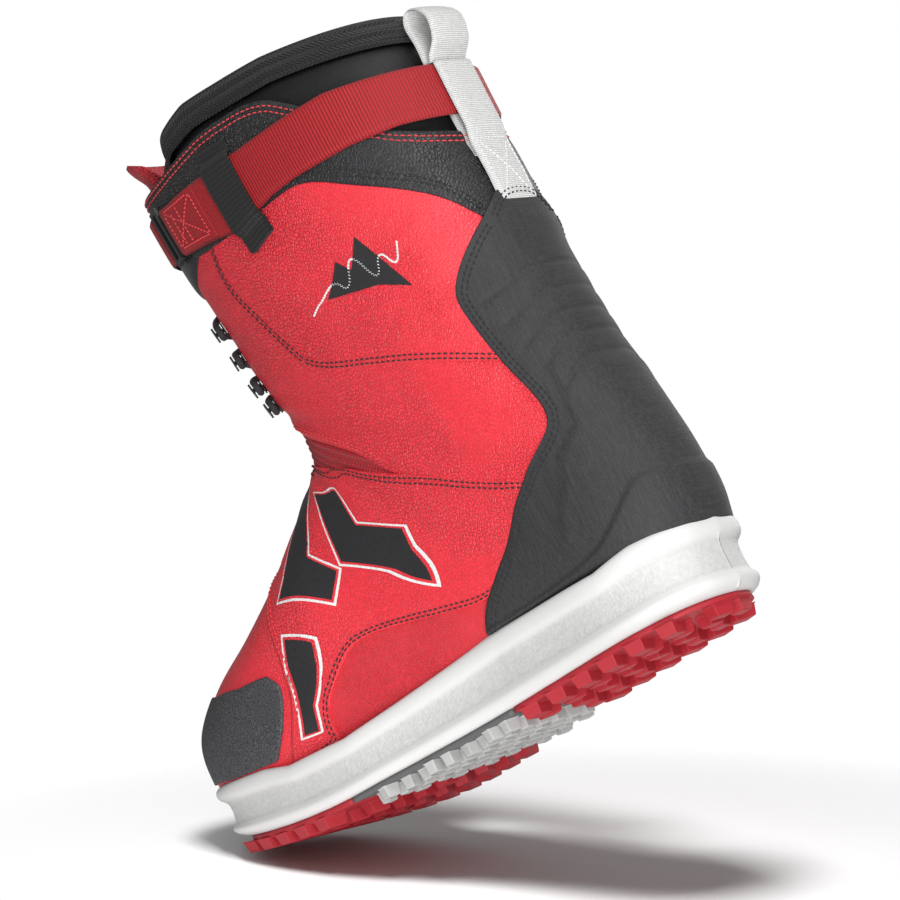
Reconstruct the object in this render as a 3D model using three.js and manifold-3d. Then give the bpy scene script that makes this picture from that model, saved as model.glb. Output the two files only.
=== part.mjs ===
// Right snowboard boot: soft upper over a foam and rubber sole. Millimetres, +X toe, +Y inner side, +Z up.
import * as THREE from 'three';
import { mergeVertices } from 'three/addons/utils/BufferGeometryUtils.js';
import Module from 'manifold-3d';

const wasm = await Module();
wasm.setup();

// ---- driving dimensions -------------------------------------------------------------------------
const UPPER = 2.6;            // thickness of the upper's leather panels
const GAP = 0.35;             // clearance kept by neighbouring pieces
const SEAM_GAP = 0.5;         // each panel's edge stands back this far from its seam
const LINER_SINK = 4.2;       // how far the liner's outside lies under the upper's surface
const LINER = 7;              // liner wall
const TONGUE = 7;             // tongue padding
const STRAP = 2.2;            // power strap webbing
const STRAP_OUT = 2.6;        // strap's inner face over the upper's surface
const LOOP = 1.8;             // pull loop webbing
const LOOP_WIDTH = 28;
const LUG_HEIGHT = 5.2;
const RUBBER = 2.9;           // outsole plate over the lugs
const FOAM_BOTTOM = 8.5;      // underside of the midsole
const TOE_SPRING = 18;
const BALL_X = 205;           // where the toe spring starts
const TOE_X = 309;
const TIP = -1;               // chart coordinate of the closed toe tip
const MIDDLE_X = 150;         // the sole's edge is drawn in towards this point

// Stations of the boot's surface, toe to top. Each is a line in side view from a front point to a back
// point, with the half width and centre of the section on it and its squareness in front and behind.
const STATIONS = [
  [303, 67, 304, 48, 9, 6, 2.6, 3.2],
  [300, 75, 301, 38, 25, 6, 2.6, 3.2],
  [290, 85, 290, 32, 37, 6, 2.6, 3.2],
  [268, 98, 268, 26, 47, 5, 2.6, 3.2],
  [243, 111, 240, 23, 52, 3, 2.5, 3.2],
  [219, 126, 208, 20, 53.5, 1, 2.4, 3.2],
  [200, 141, 172, 20, 51, 0, 2.4, 3.2],
  [191, 152, 132, 20, 47, -1, 2.4, 3.2],
  [183, 160, 92, 20, 45, -1, 2.4, 3.2],
  [180, 167, 50, 20, 44, -1, 2.4, 3.1],
  [180, 174, 10, 26, 43, 0, 2.4, 2.9],
  [181, 182, -2, 50, 43, 0, 2.4, 2.7],
  [183, 190, -3, 78, 44, 0, 2.4, 2.4],
  [186, 202, 2, 105, 46, 0, 2.4, 2.4],
  [189, 216, 8, 132, 49, 0, 2.4, 2.4],
  [192, 233, 13, 165, 52, 0, 2.3, 2.3],
  [195, 252, 17, 200, 55, 0, 2.3, 2.3],
  [199, 275, 20.5, 235, 57, 0, 2.3, 2.3],
  [202, 298, 23, 264, 58, 0, 2.3, 2.3],
  [204, 318, 24, 288, 58, 0, 2.3, 2.3],
  [205, 334, 25, 306, 58, 0, 2.3, 2.3],
  [206, 350, 26, 324, 58, 0, 2.3, 2.3],
];

// ---- the surface --------------------------------------------------------------------------------
const clamp = (v, low, high) => Math.min(high, Math.max(low, v));
const mix = (a, b, t) => a + (b - a) * t;
const smooth = (low, high, v) => {
  const t = clamp((v - low) / (high - low), 0, 1);
  return t * t * (3 - 2 * t);
};
const power = (v, n) => Math.sign(v) * Math.abs(v) ** n;

function catmull(rows, at) {
  const last = rows.length - 1;
  const t = clamp(at, 0, last);
  const i = Math.min(Math.floor(t), last - 1);
  const [a, b, c, d] = [Math.max(i - 1, 0), i, i + 1, Math.min(i + 2, last)].map((k) => rows[k]);
  const f = t - i;
  return b.map((_, k) => 0.5 * (2 * b[k] + (c[k] - a[k]) * f
    + (2 * a[k] - 5 * b[k] + 4 * c[k] - d[k]) * f * f
    + (3 * b[k] - a[k] - 3 * c[k] + d[k]) * f ** 3));
}

// A point of the surface at station s and angle deg round from the front, out millimetres outside it.
function skin(s, deg, out = 0) {
  const [fx, fz, bx, bz, half, centre, front, back] = catmull(STATIONS, Math.max(s, 0));
  const angle = THREE.MathUtils.degToRad(deg);
  const squareness = Math.cos(angle) < 0 ? back : front;
  const length = Math.hypot(bx - fx, bz - fz);
  const reach = power(Math.cos(angle), 2 / squareness) * (0.5 + out / length);
  const side = power(Math.sin(angle), 2 / squareness) * (half + out);
  const toeward = out * clamp(1 - s / 2.2, 0, 1);
  const point = new THREE.Vector3(
    (fx + bx) / 2 + (fx - bx) * reach + toeward, centre + side, (fz + bz) / 2 + (fz - bz) * reach);
  const tip = new THREE.Vector3(bx + 0.6 + out, centre, bz + 3);
  return s < 0 ? point.lerp(tip, -s) : point;
}

// ---- solids -------------------------------------------------------------------------------------
function closed(geometry) {
  const bare = geometry.clone();
  bare.deleteAttribute('normal');
  bare.deleteAttribute('uv');
  const merged = mergeVertices(bare, 1e-4);
  const p = merged.attributes.position.array;
  const index = merged.index.array;
  const kept = [];
  let volume = 0;
  for (let i = 0; i < index.length; i += 3) {
    const [a, b, c] = [index[i], index[i + 1], index[i + 2]];
    if (a === b || b === c || a === c) continue;
    kept.push(a, b, c);
    const [va, vb, vc] = [a, b, c].map((k) => new THREE.Vector3().fromArray(p, 3 * k));
    volume += va.dot(vb.cross(vc));
  }
  if (volume < 0) {
    for (let i = 0; i < kept.length; i += 3) [kept[i], kept[i + 1]] = [kept[i + 1], kept[i]];
  }
  merged.setIndex(kept);
  return merged;
}

function fromGrid(points, quads) {
  const geometry = new THREE.BufferGeometry();
  geometry.setAttribute('position', new THREE.Float32BufferAttribute(points.flatMap((p) => p.toArray()), 3));
  geometry.setIndex(quads.flatMap(([a, b, c, d]) => [a, b, c, a, c, d]));
  return closed(geometry);
}

// A sheet with thickness: at(u, v, face) gives the place on its outer (face 1) and inner (face 0) side.
function slab(at, rows, columns, gap = SEAM_GAP) {
  const points = [];
  const id = (face, i, j) => (face * (rows + 1) + i) * (columns + 1) + j;
  for (const face of [0, 1]) {
    const raw = [];
    for (let i = 0; i <= rows; i++) {
      for (let j = 0; j <= columns; j++) raw.push(at(i / rows, j / columns, face));
    }
    const get = (i, j) => raw[i * (columns + 1) + j];
    const pull = (p, towards) => p.clone().add(towards.clone().sub(p).setLength(gap));
    for (let i = 0; i <= rows; i++) {
      for (let j = 0; j <= columns; j++) {
        let p = get(i, j);
        if (gap > 0 && (i === 0 || i === rows)) p = pull(p, get(i === 0 ? 1 : rows - 1, j));
        if (gap > 0 && (j === 0 || j === columns)) p = pull(p, get(i, j === 0 ? 1 : columns - 1));
        points.push(p);
      }
    }
  }
  const quads = [];
  for (let i = 0; i < rows; i++) {
    for (let j = 0; j < columns; j++) {
      quads.push([id(1, i, j), id(1, i, j + 1), id(1, i + 1, j + 1), id(1, i + 1, j)]);
      quads.push([id(0, i, j), id(0, i + 1, j), id(0, i + 1, j + 1), id(0, i, j + 1)]);
    }
  }
  for (let j = 0; j < columns; j++) {
    quads.push([id(0, 0, j), id(0, 0, j + 1), id(1, 0, j + 1), id(1, 0, j)]);
    quads.push([id(1, rows, j), id(1, rows, j + 1), id(0, rows, j + 1), id(0, rows, j)]);
  }
  for (let i = 0; i < rows; i++) {
    quads.push([id(1, i, 0), id(1, i + 1, 0), id(0, i + 1, 0), id(0, i, 0)]);
    quads.push([id(0, i, columns), id(0, i + 1, columns), id(1, i + 1, columns), id(1, i, columns)]);
  }
  return fromGrid(points, quads);
}

const centreOf = (ring) => ring.reduce((sum, p) => sum.add(p), new THREE.Vector3()).divideScalar(ring.length);

// The quads between following rings of n points, numbered ring by ring.
function ringQuads(count, n) {
  const quads = [];
  for (let k = 0; k + 1 < count; k++) {
    for (let j = 0; j < n; j++) {
      const next = (j + 1) % n;
      quads.push([k * n + j, k * n + next, (k + 1) * n + next, (k + 1) * n + j]);
    }
  }
  return quads;
}

// A body of rings: ring k is a list of points, and the first and last rings are closed by fans.
function lathe(rings) {
  const n = rings[0].length;
  const points = [...rings.flat(), centreOf(rings[0]), centreOf(rings[rings.length - 1])];
  const quads = ringQuads(rings.length, n);
  const top = (rings.length - 1) * n;
  for (let j = 0; j < n; j++) {
    const next = (j + 1) % n;
    quads.push([points.length - 2, next, j, points.length - 2]);
    quads.push([points.length - 1, top + j, top + next, points.length - 1]);
  }
  return fromGrid(points, quads);
}

// A wall of rings with a hollow: outer rings from one end to the other, then the inner rings back.
function sleeve(rings) {
  const n = rings[0].length;
  const quads = [];
  for (let k = 0; k < rings.length; k++) {
    const after = (k + 1) % rings.length;
    for (let j = 0; j < n; j++) {
      const next = (j + 1) % n;
      quads.push([k * n + j, k * n + next, after * n + next, after * n + j]);
    }
  }
  return fromGrid(rings.flat(), quads);
}

function solid(geometry) {
  const g = closed(geometry.index ? geometry.toNonIndexed() : geometry);
  return new wasm.Manifold(new wasm.Mesh({
    numProp: 3,
    vertProperties: Float32Array.from(g.attributes.position.array),
    triVerts: Uint32Array.from(g.index.array),
  }));
}

function back(manifold) {
  const mesh = manifold.getMesh();
  const geometry = new THREE.BufferGeometry();
  geometry.setAttribute('position', new THREE.Float32BufferAttribute(mesh.vertProperties, 3));
  geometry.setIndex([...mesh.triVerts]);
  return geometry;
}

const join = (pieces) => back(pieces.map(solid).reduce((sum, piece) => sum.add(piece)));

// ---- seams, as [station, angle] points on the surface -------------------------------------------
const mirrored = (seam) => seam.map(([s, deg]) => [s, -deg]);

// The line through a seam's points, walked by its length.
function walk(seam) {
  const STATION_MM = 20;
  const DEGREE_MM = 0.9;
  const ends = [0];
  for (let i = 1; i < seam.length; i++) {
    const [rise, turn] = [0, 1].map((k) => seam[i][k] - seam[i - 1][k]);
    ends.push(ends[i - 1] + Math.hypot(rise * STATION_MM, turn * DEGREE_MM));
  }
  return (t) => {
    const at = t * ends[ends.length - 1];
    const i = clamp(ends.findIndex((end) => end > at) - 1, 0, seam.length - 2);
    const k = at >= ends[ends.length - 1] ? seam.length - 2 : i;
    const f = (at - ends[k]) / (ends[k + 1] - ends[k]);
    return [mix(seam[k][0], seam[k + 1][0], f), mix(seam[k][1], seam[k + 1][1], f)];
  };
}

// The patch inside four seams: bottom and top run front to back, front and rear run bottom to top.
function patch(bottom, top, front, rear) {
  const [b, t, f, r] = [bottom, top, front, rear].map(walk);
  const corners = [b(0), b(1), t(0), t(1)];
  return (u, v) => [0, 1].map((k) => (1 - u) * b(v)[k] + u * t(v)[k] + (1 - v) * f(u)[k] + v * r(u)[k]
    - (1 - u) * (1 - v) * corners[0][k] - (1 - u) * v * corners[1][k]
    - u * (1 - v) * corners[2][k] - u * v * corners[3][k]);
}

const panel = (map, rows, columns, low, high, gap) => slab(
  (u, v, face) => skin(...map(u, v), face ? high : low), rows, columns, gap);

const COUNTER_EDGE = [[7.9, 133], [7.95, 121], [8.4, 110], [9.2, 103], [10.2, 99], [11.25, 107]];
const FLEX_EDGE = [[11.3, 107], [12.1, 121], [12.6, 129], [13.1, 132], [14, 129]];
const BACKSTAY_EDGE = [[14, 129], [15, 128], [15.3, 130], [15.7, 138], [16.1, 152], [16.3, 158]];
const CUFF_SEAM = [[14.15, 72], [14, 79], [14.1, 94], [14.1, 109], [14, 129]];
const FACING_SEAM = [[14.15, 72], [14.9, 67], [15.5, 64], [16, 61], [16.5, 61], [17.1, 66]];
const COLLAR_SEAM = [[17.1, 66], [17.3, 82], [17.6, 97], [17.7, 106], [17.3, 119], [17.1, 132], [16.7, 147],
  [16.3, 158]];
const COLLAR_TOP = [[18.9, 24], [18.9, 51], [19.2, 71], [19.7, 90], [19.7, 106], [19.2, 114], [18.2, 130], [17.8, 147],
  [17.6, 180]];
const OPENING = 20;           // half angle of the lace opening on the shin

const METAL = 0.9;
const GLOSS = { leather: 0.55, rubber: 0.8, cloth: 0.9, metal: 0.35 };
const group = new THREE.Group();

function add(name, geometry, color, roughness = GLOSS.leather, metalness = 0) {
  const mesh = new THREE.Mesh(geometry, new THREE.MeshStandardMaterial({ color, roughness, metalness }));
  mesh.name = name;
  group.add(mesh);
  return mesh;
}

const RED = 0xd8333f;
const BOARD_BROWN = 0x8a7352;
const DARK = 0x3c3c3e;
const BLACK = 0x151517;
const WEBBING = 0xb01c2c;
const WHITE = 0xe8e8e6;
const GREY = 0xb4b4b2;
const STEEL = 0xb9bcc0;
const SIDES = [['medial', (seam) => seam, 1], ['lateral', mirrored, -1]];

// ---- sole ---------------------------------------------------------------------------------------
const INNER_EDGE = [[-4, 0], [0, 20], [14, 35], [42, 42.5], [85, 41.5], [125, 41], [165, 46.5], [200, 54],
  [228, 56], [258, 54.5], [283, 48.5], [300, 36], [308, 21], [TOE_X, 6]];
const OUTER_EDGE = [[-4, 0], [0, -20], [14, -35], [42, -42.5], [85, -43], [125, -46.5], [160, -52], [195, -55],
  [225, -54], [252, -49.5], [277, -41], [296, -30], [306, -12], [TOE_X, 6]];
// height of the midsole's top edge along the boot
const FOAM_TOP = [[-4, 43], [24, 43], [34, 40], [107, 42], [200, 34], [238, 37], [262, 43], [309, 51]];

const rise = (x) => TOE_SPRING * clamp((x - BALL_X) / (TOE_X - BALL_X), 0, 1) ** 1.8;

function foamTop(x) {
  const k = clamp(FOAM_TOP.findIndex(([edge]) => edge > x) - 1, 0, FOAM_TOP.length - 2);
  const at = x >= TOE_X ? FOAM_TOP.length - 2 : k;
  const [[x0, z0], [x1, z1]] = [FOAM_TOP[at], FOAM_TOP[at + 1]];
  return mix(z0, z1, clamp((x - x0) / (x1 - x0), 0, 1));
}

// Where the sole's edge runs: across 0 is the inner edge, 1 the outer edge, along runs heel to toe.
function solePoint(along, across, inset = 0) {
  const steps = INNER_EDGE.length - 1;
  const a = catmull(INNER_EDGE, along * steps);
  const b = catmull(OUTER_EDGE, along * steps);
  const width = Math.max(a[1] - b[1], 0.01);
  const shrink = Math.max(0, 1 - 2 * inset / width);
  const t = mix(0.5, across, shrink);
  const x = mix(a[0], b[0], t);
  return [MIDDLE_X + (x - MIDDLE_X) * (1 - inset / MIDDLE_X), mix(a[1], b[1], t)];
}

function soleRing(fraction, grow) {
  const ring = [];
  const STEPS = 24;
  const place = (along, across) => {
    const [x, y] = solePoint(along, across, -grow);
    ring.push(new THREE.Vector3(x, y, mix(FOAM_BOTTOM + rise(x), foamTop(x), fraction)));
  };
  for (let i = 0; i < STEPS; i++) place(i / STEPS, 0);
  for (let i = STEPS; i > 0; i--) place(i / STEPS, 1);
  return ring;
}

function midsole() {
  const profile = [[0, -3.5], [0.1, -0.4], [0.35, 0.6], [0.7, -0.9], [0.78, 0.6], [1, 0]];
  const rings = profile.map(([fraction, grow]) => soleRing(fraction, grow));
  const n = rings[0].length;
  const quads = ringQuads(rings.length, n);
  const top = (rings.length - 1) * n;
  for (let j = 0; j < n / 2; j++) {
    const [a, b, c, d] = [j, j + 1, (n - j - 1) % n, (n - j) % n];
    quads.push([a, d, c, b], [top + a, top + b, top + c, top + d]);
  }
  return back(solid(fromGrid(rings.flat(), quads)).subtract(solid(bootVolume())));
}

// The space that the upper fills, a little larger than the upper itself.
function bootVolume() {
  const rings = [];
  const CLEARANCE = 1.4;
  const SIDES_AROUND = 26;
  for (const s of [TIP + 0.02, -0.4, 0, 0.5, 1, 2, 3, 4, 5, 6.5, 8, 9, 9.4, 9.8, 10.2, 10.7, 11.5]) {
    rings.push([...Array(SIDES_AROUND).keys()].map((j) => skin(s, j * 360 / SIDES_AROUND, CLEARANCE)));
  }
  return lathe(rings);
}

// A strip of outsole between two lines across the sole, each given at its inner and outer edge.
function soleStrip(from, to, low, high, inset = 1.2) {
  const at = (u, v, face) => {
    const along = mix(mix(from[0], to[0], u), mix(from[1], to[1], u), v);
    const [x, y] = solePoint(along, v, inset);
    return new THREE.Vector3(x, y, (face ? high : low) + rise(x));
  };
  return slab(at, 8, 5, 0);
}

const LUG_INSET = 9;          // from the sole's edge to the middle of the outer lugs
const LUG_ROOT = 0.5;         // how far a lug runs up into the outsole
function lug(along, across, length, width, turn = 0) {
  const [x, y] = solePoint(along, across, LUG_INSET);
  const geometry = new THREE.BoxGeometry(length, width, LUG_HEIGHT + LUG_ROOT);
  geometry.rotateZ(turn);
  const slope = Math.atan((rise(x + 5) - rise(x - 5)) / 10);
  geometry.rotateY(-slope);
  return geometry.translate(x, y, (LUG_HEIGHT + LUG_ROOT) / 2 + rise(x) + Math.sin(slope) * length / 2);
}

const HEEL_SPAN = [[0.02, 0.02], [0.362, 0.362]];
const INSERT_SPAN = [[0.366, 0.366], [0.575, 0.455]];
const FORE_SPAN = [[0.579, 0.459], [0.965, 0.965]];

function outsole(span, places) {
  const [from, to] = span;
  const strip = soleStrip(from, to, LUG_HEIGHT, LUG_HEIGHT + RUBBER);
  const lugs = places.map(([u, across, length, width, turn]) => {
    const along = mix(mix(from[0], to[0], u), mix(from[1], to[1], u), across);
    return lug(along, across, length, width, turn);
  });
  return join([strip, ...lugs]);
}

function lugGrid(rows, columns, length, width, turn = 0) {
  const places = [];
  rows.forEach((u, i) => columns.forEach((across, j) => {
    const stagger = i % 2 ? 0.05 : -0.05;
    places.push([u, clamp(across + stagger, 0, 1), length, width, turn * (j % 2 ? 1 : -1)]);
  }));
  return places;
}

add('midsole', midsole(), WHITE, GLOSS.rubber);
const heelLugs = lugGrid([0.2, 0.4, 0.6, 0.8, 0.95], [0, 0.5, 1], 9, 15, 0.3);
const insertLugs = lugGrid([0.1, 0.3, 0.5, 0.7, 0.9], [0, 0.33, 0.67, 1], 6, 11);
const foreLugs = lugGrid([0.08, 0.27, 0.46, 0.65, 0.84], [0, 0.33, 0.67, 1], 10, 12, 0.2);
add('outsole_heel', outsole(HEEL_SPAN, heelLugs), WEBBING, GLOSS.rubber);
add('outsole_insert', outsole(INSERT_SPAN, insertLugs), GREY, GLOSS.rubber);
add('outsole_forefoot', outsole(FORE_SPAN, foreLugs), WEBBING, GLOSS.rubber);

// plates inside the boot, following the line of the sole
function innerPlate(first, last, halfAngle, depth, thickness, rows, columns) {
  return slab((u, v, face) => {
    const s = mix(first, last, u);
    return skin(s, 180 + (2 * v - 1) * halfAngle, -depth - (face ? 0 : thickness));
  }, rows, columns, 0);
}

const BOARD_DEPTH = 0.5;      // depths under the upper's surface
const BOARD = 1.2;
const SHANK_DEPTH = 2.6;
const SHANK = 1;
const FOOTBED_DEPTH = LINER_SINK + LINER + 2.8;
const FOOTBED = 3;
add('lasting_board', innerPlate(9.7, 2.4, 40, BOARD_DEPTH, BOARD, 10, 8), BOARD_BROWN, GLOSS.cloth);
add('shank', innerPlate(8.6, 6.2, 12, SHANK_DEPTH, SHANK, 4, 4), STEEL, GLOSS.metal, METAL);
add('footbed', innerPlate(9.3, 3.2, 34, FOOTBED_DEPTH, FOOTBED, 8, 6), BLACK, GLOSS.cloth);

// ---- lower upper --------------------------------------------------------------------------------
const TOE_SEAM = 4.95;
const toeLow = (s) => mix(106, 133, smooth(0.5, 4.6, s));
add('toe_box', slab((u, v, face) => {
  const s = mix(TIP + 0.06, TOE_SEAM, u);
  return skin(s, (2 * v - 1) * toeLow(s), face ? 0 : -UPPER);
}, 9, 20), RED);

// the toe cap's upper and lower edges, point for point from the inner side to the toe's middle
const CAP_TOP = [[4.75, 90], [4.6, 84], [3.9, 76], [3.1, 60], [2.4, 30], [2.3, 12], [2.25, 0]];
const CAP_LOW = [[3.95, 114], [3, 107], [1.9, 99], [0.8, 95], [-0.2, 92], [-0.86, 88], [-0.97, 0]];
const CAP = 1.5;
const CAP_OUT = 1.5;
function toeCap() {
  const across = (half) => [...half, ...mirrored(half).reverse().slice(1)];
  const [top, low] = [across(CAP_TOP), across(CAP_LOW)];
  return slab((u, v, face) => {
    const at = Math.min(Math.floor(v * (top.length - 1)), top.length - 2);
    const f = v * (top.length - 1) - at;
    const between = (edge, k) => mix(edge[at][k], edge[at + 1][k], f);
    const [s, deg] = [0, 1].map((k) => mix(between(top, k), between(low, k), u));
    return skin(s, deg, face ? CAP_OUT + CAP : CAP_OUT);
  }, 4, 24, 0);
}
add('toe_cap', toeCap(), DARK, GLOSS.rubber);

const VAMP_TOP = [[8.35, 0], [8.9, 25], [10.2, 57], [10.4, 68]];
add('vamp', panel(patch(
  [[TOE_SEAM, -72], [TOE_SEAM, 72]],
  [...mirrored(VAMP_TOP).reverse(), ...VAMP_TOP.slice(1)],
  [[TOE_SEAM, -72], [10.4, -68]],
  [[TOE_SEAM, 72], [10.4, 68]],
), 7, 14, -UPPER, 0), RED);

const ARCH_OUT = 1;
const ARCH = 1.3;
for (const [side, turn] of SIDES) {
  add(`quarter_${side}`, panel(patch(
    turn([[TOE_SEAM, 72], [TOE_SEAM, 100], [TOE_SEAM, 134], [6, 134], [7, 133], [7.9, 133]]),
    turn([[10.4, 68], [10.95, 90], [11.25, 107]]),
    turn([[TOE_SEAM, 72], [10.4, 68]]),
    turn(COUNTER_EDGE),
  ), 7, 10, -UPPER, 0), RED);
  add(`arch_panel_${side}`, panel(patch(
    turn([[5.05, 117], [6, 119], [7, 119], [7.8, 118]]),
    turn([[5.7, 99], [6.1, 95], [6.5, 94], [7.2, 98], [8, 105], [8.3, 108]]),
    turn([[5.05, 117], [5.25, 108], [5.7, 99]]),
    turn([[7.8, 118], [7.95, 113], [8.3, 108]]),
  ), 3, 8, ARCH_OUT, ARCH_OUT + ARCH, 0), RED);
}

const around = (seam) => [...seam, ...mirrored(seam).reverse().slice(1).map(([s, deg]) => [s, deg + 360])];
const HEEL_TUCK = [[7.9, 133], [9, 134], [9.8, 141], [10.15, 151], [10.3, 165], [10.35, 180]];
const HEEL_TOP = [[11.25, 107], [11.5, 125], [11.85, 150], [12, 180]];
const FLEX_LOW = [[11.3, 107], [11.55, 125], [11.9, 150], [12.05, 180]];
const FLEX_TOP = [[14, 129], [14, 155], [14, 180]];
const BACK_TOP = [[16.3, 158], [16.35, 168], [16.35, 180]];
const otherSide = (seam) => mirrored(seam).map(([s, deg]) => [s, deg + 360]);
add('heel_counter', panel(patch(around(HEEL_TUCK), around(HEEL_TOP), COUNTER_EDGE, otherSide(COUNTER_EDGE)),
  7, 16, -UPPER, 0), DARK, GLOSS.rubber);
add('backstay_flex', panel(patch(around(FLEX_LOW), around(FLEX_TOP), FLEX_EDGE, otherSide(FLEX_EDGE)),
  5, 10, -UPPER, 0), DARK, GLOSS.rubber);
add('backstay', panel(patch(around(FLEX_TOP), around(BACK_TOP), BACKSTAY_EDGE, otherSide(BACKSTAY_EDGE)),
  7, 10, -UPPER, 0), DARK, GLOSS.rubber);

const GUSSET_LOW = [[8.4, 0], [8.95, 25], [10.25, 57], [10.5, 67]];
const GUSSET_TOP = [[10.95, 0], [10.95, OPENING], [11.15, 52], [11.15, 67]];
add('gusset', panel(patch(
  [...mirrored(GUSSET_LOW).reverse(), ...GUSSET_LOW.slice(1)],
  [...mirrored(GUSSET_TOP).reverse(), ...GUSSET_TOP.slice(1)],
  mirrored([[10.5, 67], [11.15, 67]]),
  [[10.5, 67], [11.15, 67]],
), 2, 12, -UPPER, -1.2), WEBBING, GLOSS.cloth);

for (const [side, turn] of SIDES) {
  add(`ankle_quarter_${side}`, panel(patch(
    turn([[11, OPENING], [11.2, 52], [11.2, 68], [10.75, 76], [11, 90], [11.3, 107]]),
    turn([[12.25, OPENING], [12.9, 50], [14.05, 72], [13.95, 79], [14.05, 94], [14.05, 109], [14, 129]]),
    turn([[11, OPENING], [12.25, OPENING]]),
    turn(FLEX_EDGE),
  ), 5, 10, -UPPER, 0), RED);
}

// ---- cuff ---------------------------------------------------------------------------------------
for (const [side, turn] of SIDES) {
  add(`facing_${side}`, panel(patch(
    turn([[12.3, OPENING], [12.95, 50], [14.15, 72]]),
    turn([[17.1, OPENING], [17.1, 44], [17.1, 66]]),
    turn([[12.3, OPENING], [17.1, OPENING]]),
    turn(FACING_SEAM),
  ), 7, 4, -UPPER, 0), RED);
  add(`cuff_quarter_${side}`, panel(patch(
    turn(CUFF_SEAM),
    turn(COLLAR_SEAM),
    turn(FACING_SEAM),
    turn(BACKSTAY_EDGE),
  ), 7, 12, -UPPER, 0), RED);
  add(`collar_${side}`, panel(patch(
    turn([[17.15, 24], [17.15, 50], ...COLLAR_SEAM, [16.45, 170], [16.45, 180]]),
    turn(COLLAR_TOP),
    turn([[17.15, 24], [18.9, 24]]),
    turn([[16.45, 180], [17.6, 180]]),
  ), 3, 20, -UPPER, 0), DARK);
}

// ---- tongue and liner ---------------------------------------------------------------------------
const TONGUE_HALF = 44;
const TONGUE_FACE = 3.4;      // tongue's outer face under the upper's surface, under the lacing
const TONGUE_FLEX_FACE = 4.2;
const tongueLean = (s) => 8.5 * smooth(19.2, 20.4, s);
function tongue(first, last, rows, face) {
  return slab((u, v, outer) => {
    const s = mix(first(v), last, u);
    const out = outer ? tongueLean(s) - face : tongueLean(s) - face - TONGUE;
    return skin(s, (2 * v - 1) * TONGUE_HALF, out);
  }, rows, 8, 0);
}
const tongueRoot = (v) => mix(8.5, 9.6, Math.abs(2 * v - 1));
add('tongue_lower', tongue(() => 6.6, 8.3, 2, TONGUE_FLEX_FACE), BLACK, GLOSS.cloth);
add('tongue_flex', tongue(tongueRoot, 12.2, 4, TONGUE_FLEX_FACE), BLACK, GLOSS.cloth);
add('tongue_upper', tongue(() => 12.3, 20.4, 9, TONGUE_FACE), RED, GLOSS.cloth);

const fromFrontOf = (deg) => Math.abs(((deg + 180) % 360) - 180);

// The liner stands back behind the tongue in front.
const linerOut = (deg) => {
  return -LINER_SINK - (TONGUE + 1.4) * smooth(68, 46, fromFrontOf(deg));
};
const AROUND = 26;
const TURN = [...Array(AROUND).keys()].map((j) => j * 360 / AROUND);
const linerRing = (at, depth) => TURN.map((deg) => skin(at(deg), deg, linerOut(deg) - depth));
const along = (seam, deg) => {
  const a = fromFrontOf(deg);
  const k = clamp(seam.findIndex(([, edge]) => edge >= a) - 1, 0, seam.length - 2);
  const [[s0, a0], [s1, a1]] = [seam[k], seam[k + 1]];
  return mix(s0, s1, clamp((a - a0) / (a1 - a0), 0, 1));
};
const LINER_LOW = [[8.2, 0], [9, 30], [10.2, 62], [10.9, 90], [11.3, 120], [11.8, 150], [11.9, 180]];
const LINER_MID = [[12.3, 0], [12.5, 30], [13.2, 60], [13.9, 90], [14, 120], [14, 180]];
const LINER_RIM = [[19.2, 0], [19.7, 40], [20.7, 80], [20.9, 110], [20.8, 180]];

function linerFoot() {
  const outer = [];
  const inner = [];
  const STEPS = [0, 0.1, 0.22, 0.34, 0.46, 0.58, 0.7, 0.82, 0.92, 1];
  for (const t of STEPS) {
    outer.push(linerRing((deg) => mix(1, along(LINER_LOW, deg), t), 0));
    inner.push(linerRing((deg) => mix(1.9, along(LINER_LOW, deg), t), LINER));
  }
  return lathe([...outer, ...inner.reverse()]);
}

function linerBand(low, high, steps) {
  const rings = [];
  for (const [depth, order] of [[0, 1], [LINER, -1]]) {
    for (let k = 0; k <= steps; k++) {
      const t = order > 0 ? k / steps : 1 - k / steps;
      rings.push(linerRing((deg) => mix(along(low, deg), along(high, deg), t), depth));
    }
  }
  return sleeve(rings);
}

const shifted = (seam, by) => seam.map(([s, deg]) => [s + by, deg]);
add('liner_foot', linerFoot(), BLACK, GLOSS.cloth);
add('liner_ankle', linerBand(shifted(LINER_LOW, 0.08), shifted(LINER_MID, -0.05), 4), BLACK, GLOSS.cloth);
add('liner_shaft', linerBand(LINER_MID, shifted(LINER_RIM, -0.75), 6), BLACK, GLOSS.cloth);
add('liner_rim', linerBand(shifted(LINER_RIM, -0.72), LINER_RIM, 2), BLACK, GLOSS.cloth);

// ---- lacing -------------------------------------------------------------------------------------
const HOOK_ANGLE = 27;
const HOOK_STATIONS = [12.85, 13.7, 14.65, 15.55];
const LACE_RADIUS = 1.4;

function frameAt(s, deg) {
  const p = skin(s, deg);
  const up = skin(s + 0.05, deg).sub(skin(s - 0.05, deg)).normalize();
  const along = skin(s, deg + 1).sub(skin(s, deg - 1)).normalize();
  const out = new THREE.Vector3().crossVectors(along, up).normalize();
  if (out.dot(skin(s, deg, 1).sub(p)) < 0) out.negate();
  return { p, up, out, along: new THREE.Vector3().crossVectors(up, out) };
}

function onSurface(geometry, s, deg, lift) {
  const { p, up, out, along } = frameAt(s, deg);
  const place = new THREE.Matrix4().makeBasis(along, up, out);
  place.setPosition(p.clone().addScaledVector(out, lift));
  return geometry.applyMatrix4(place);
}

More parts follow.
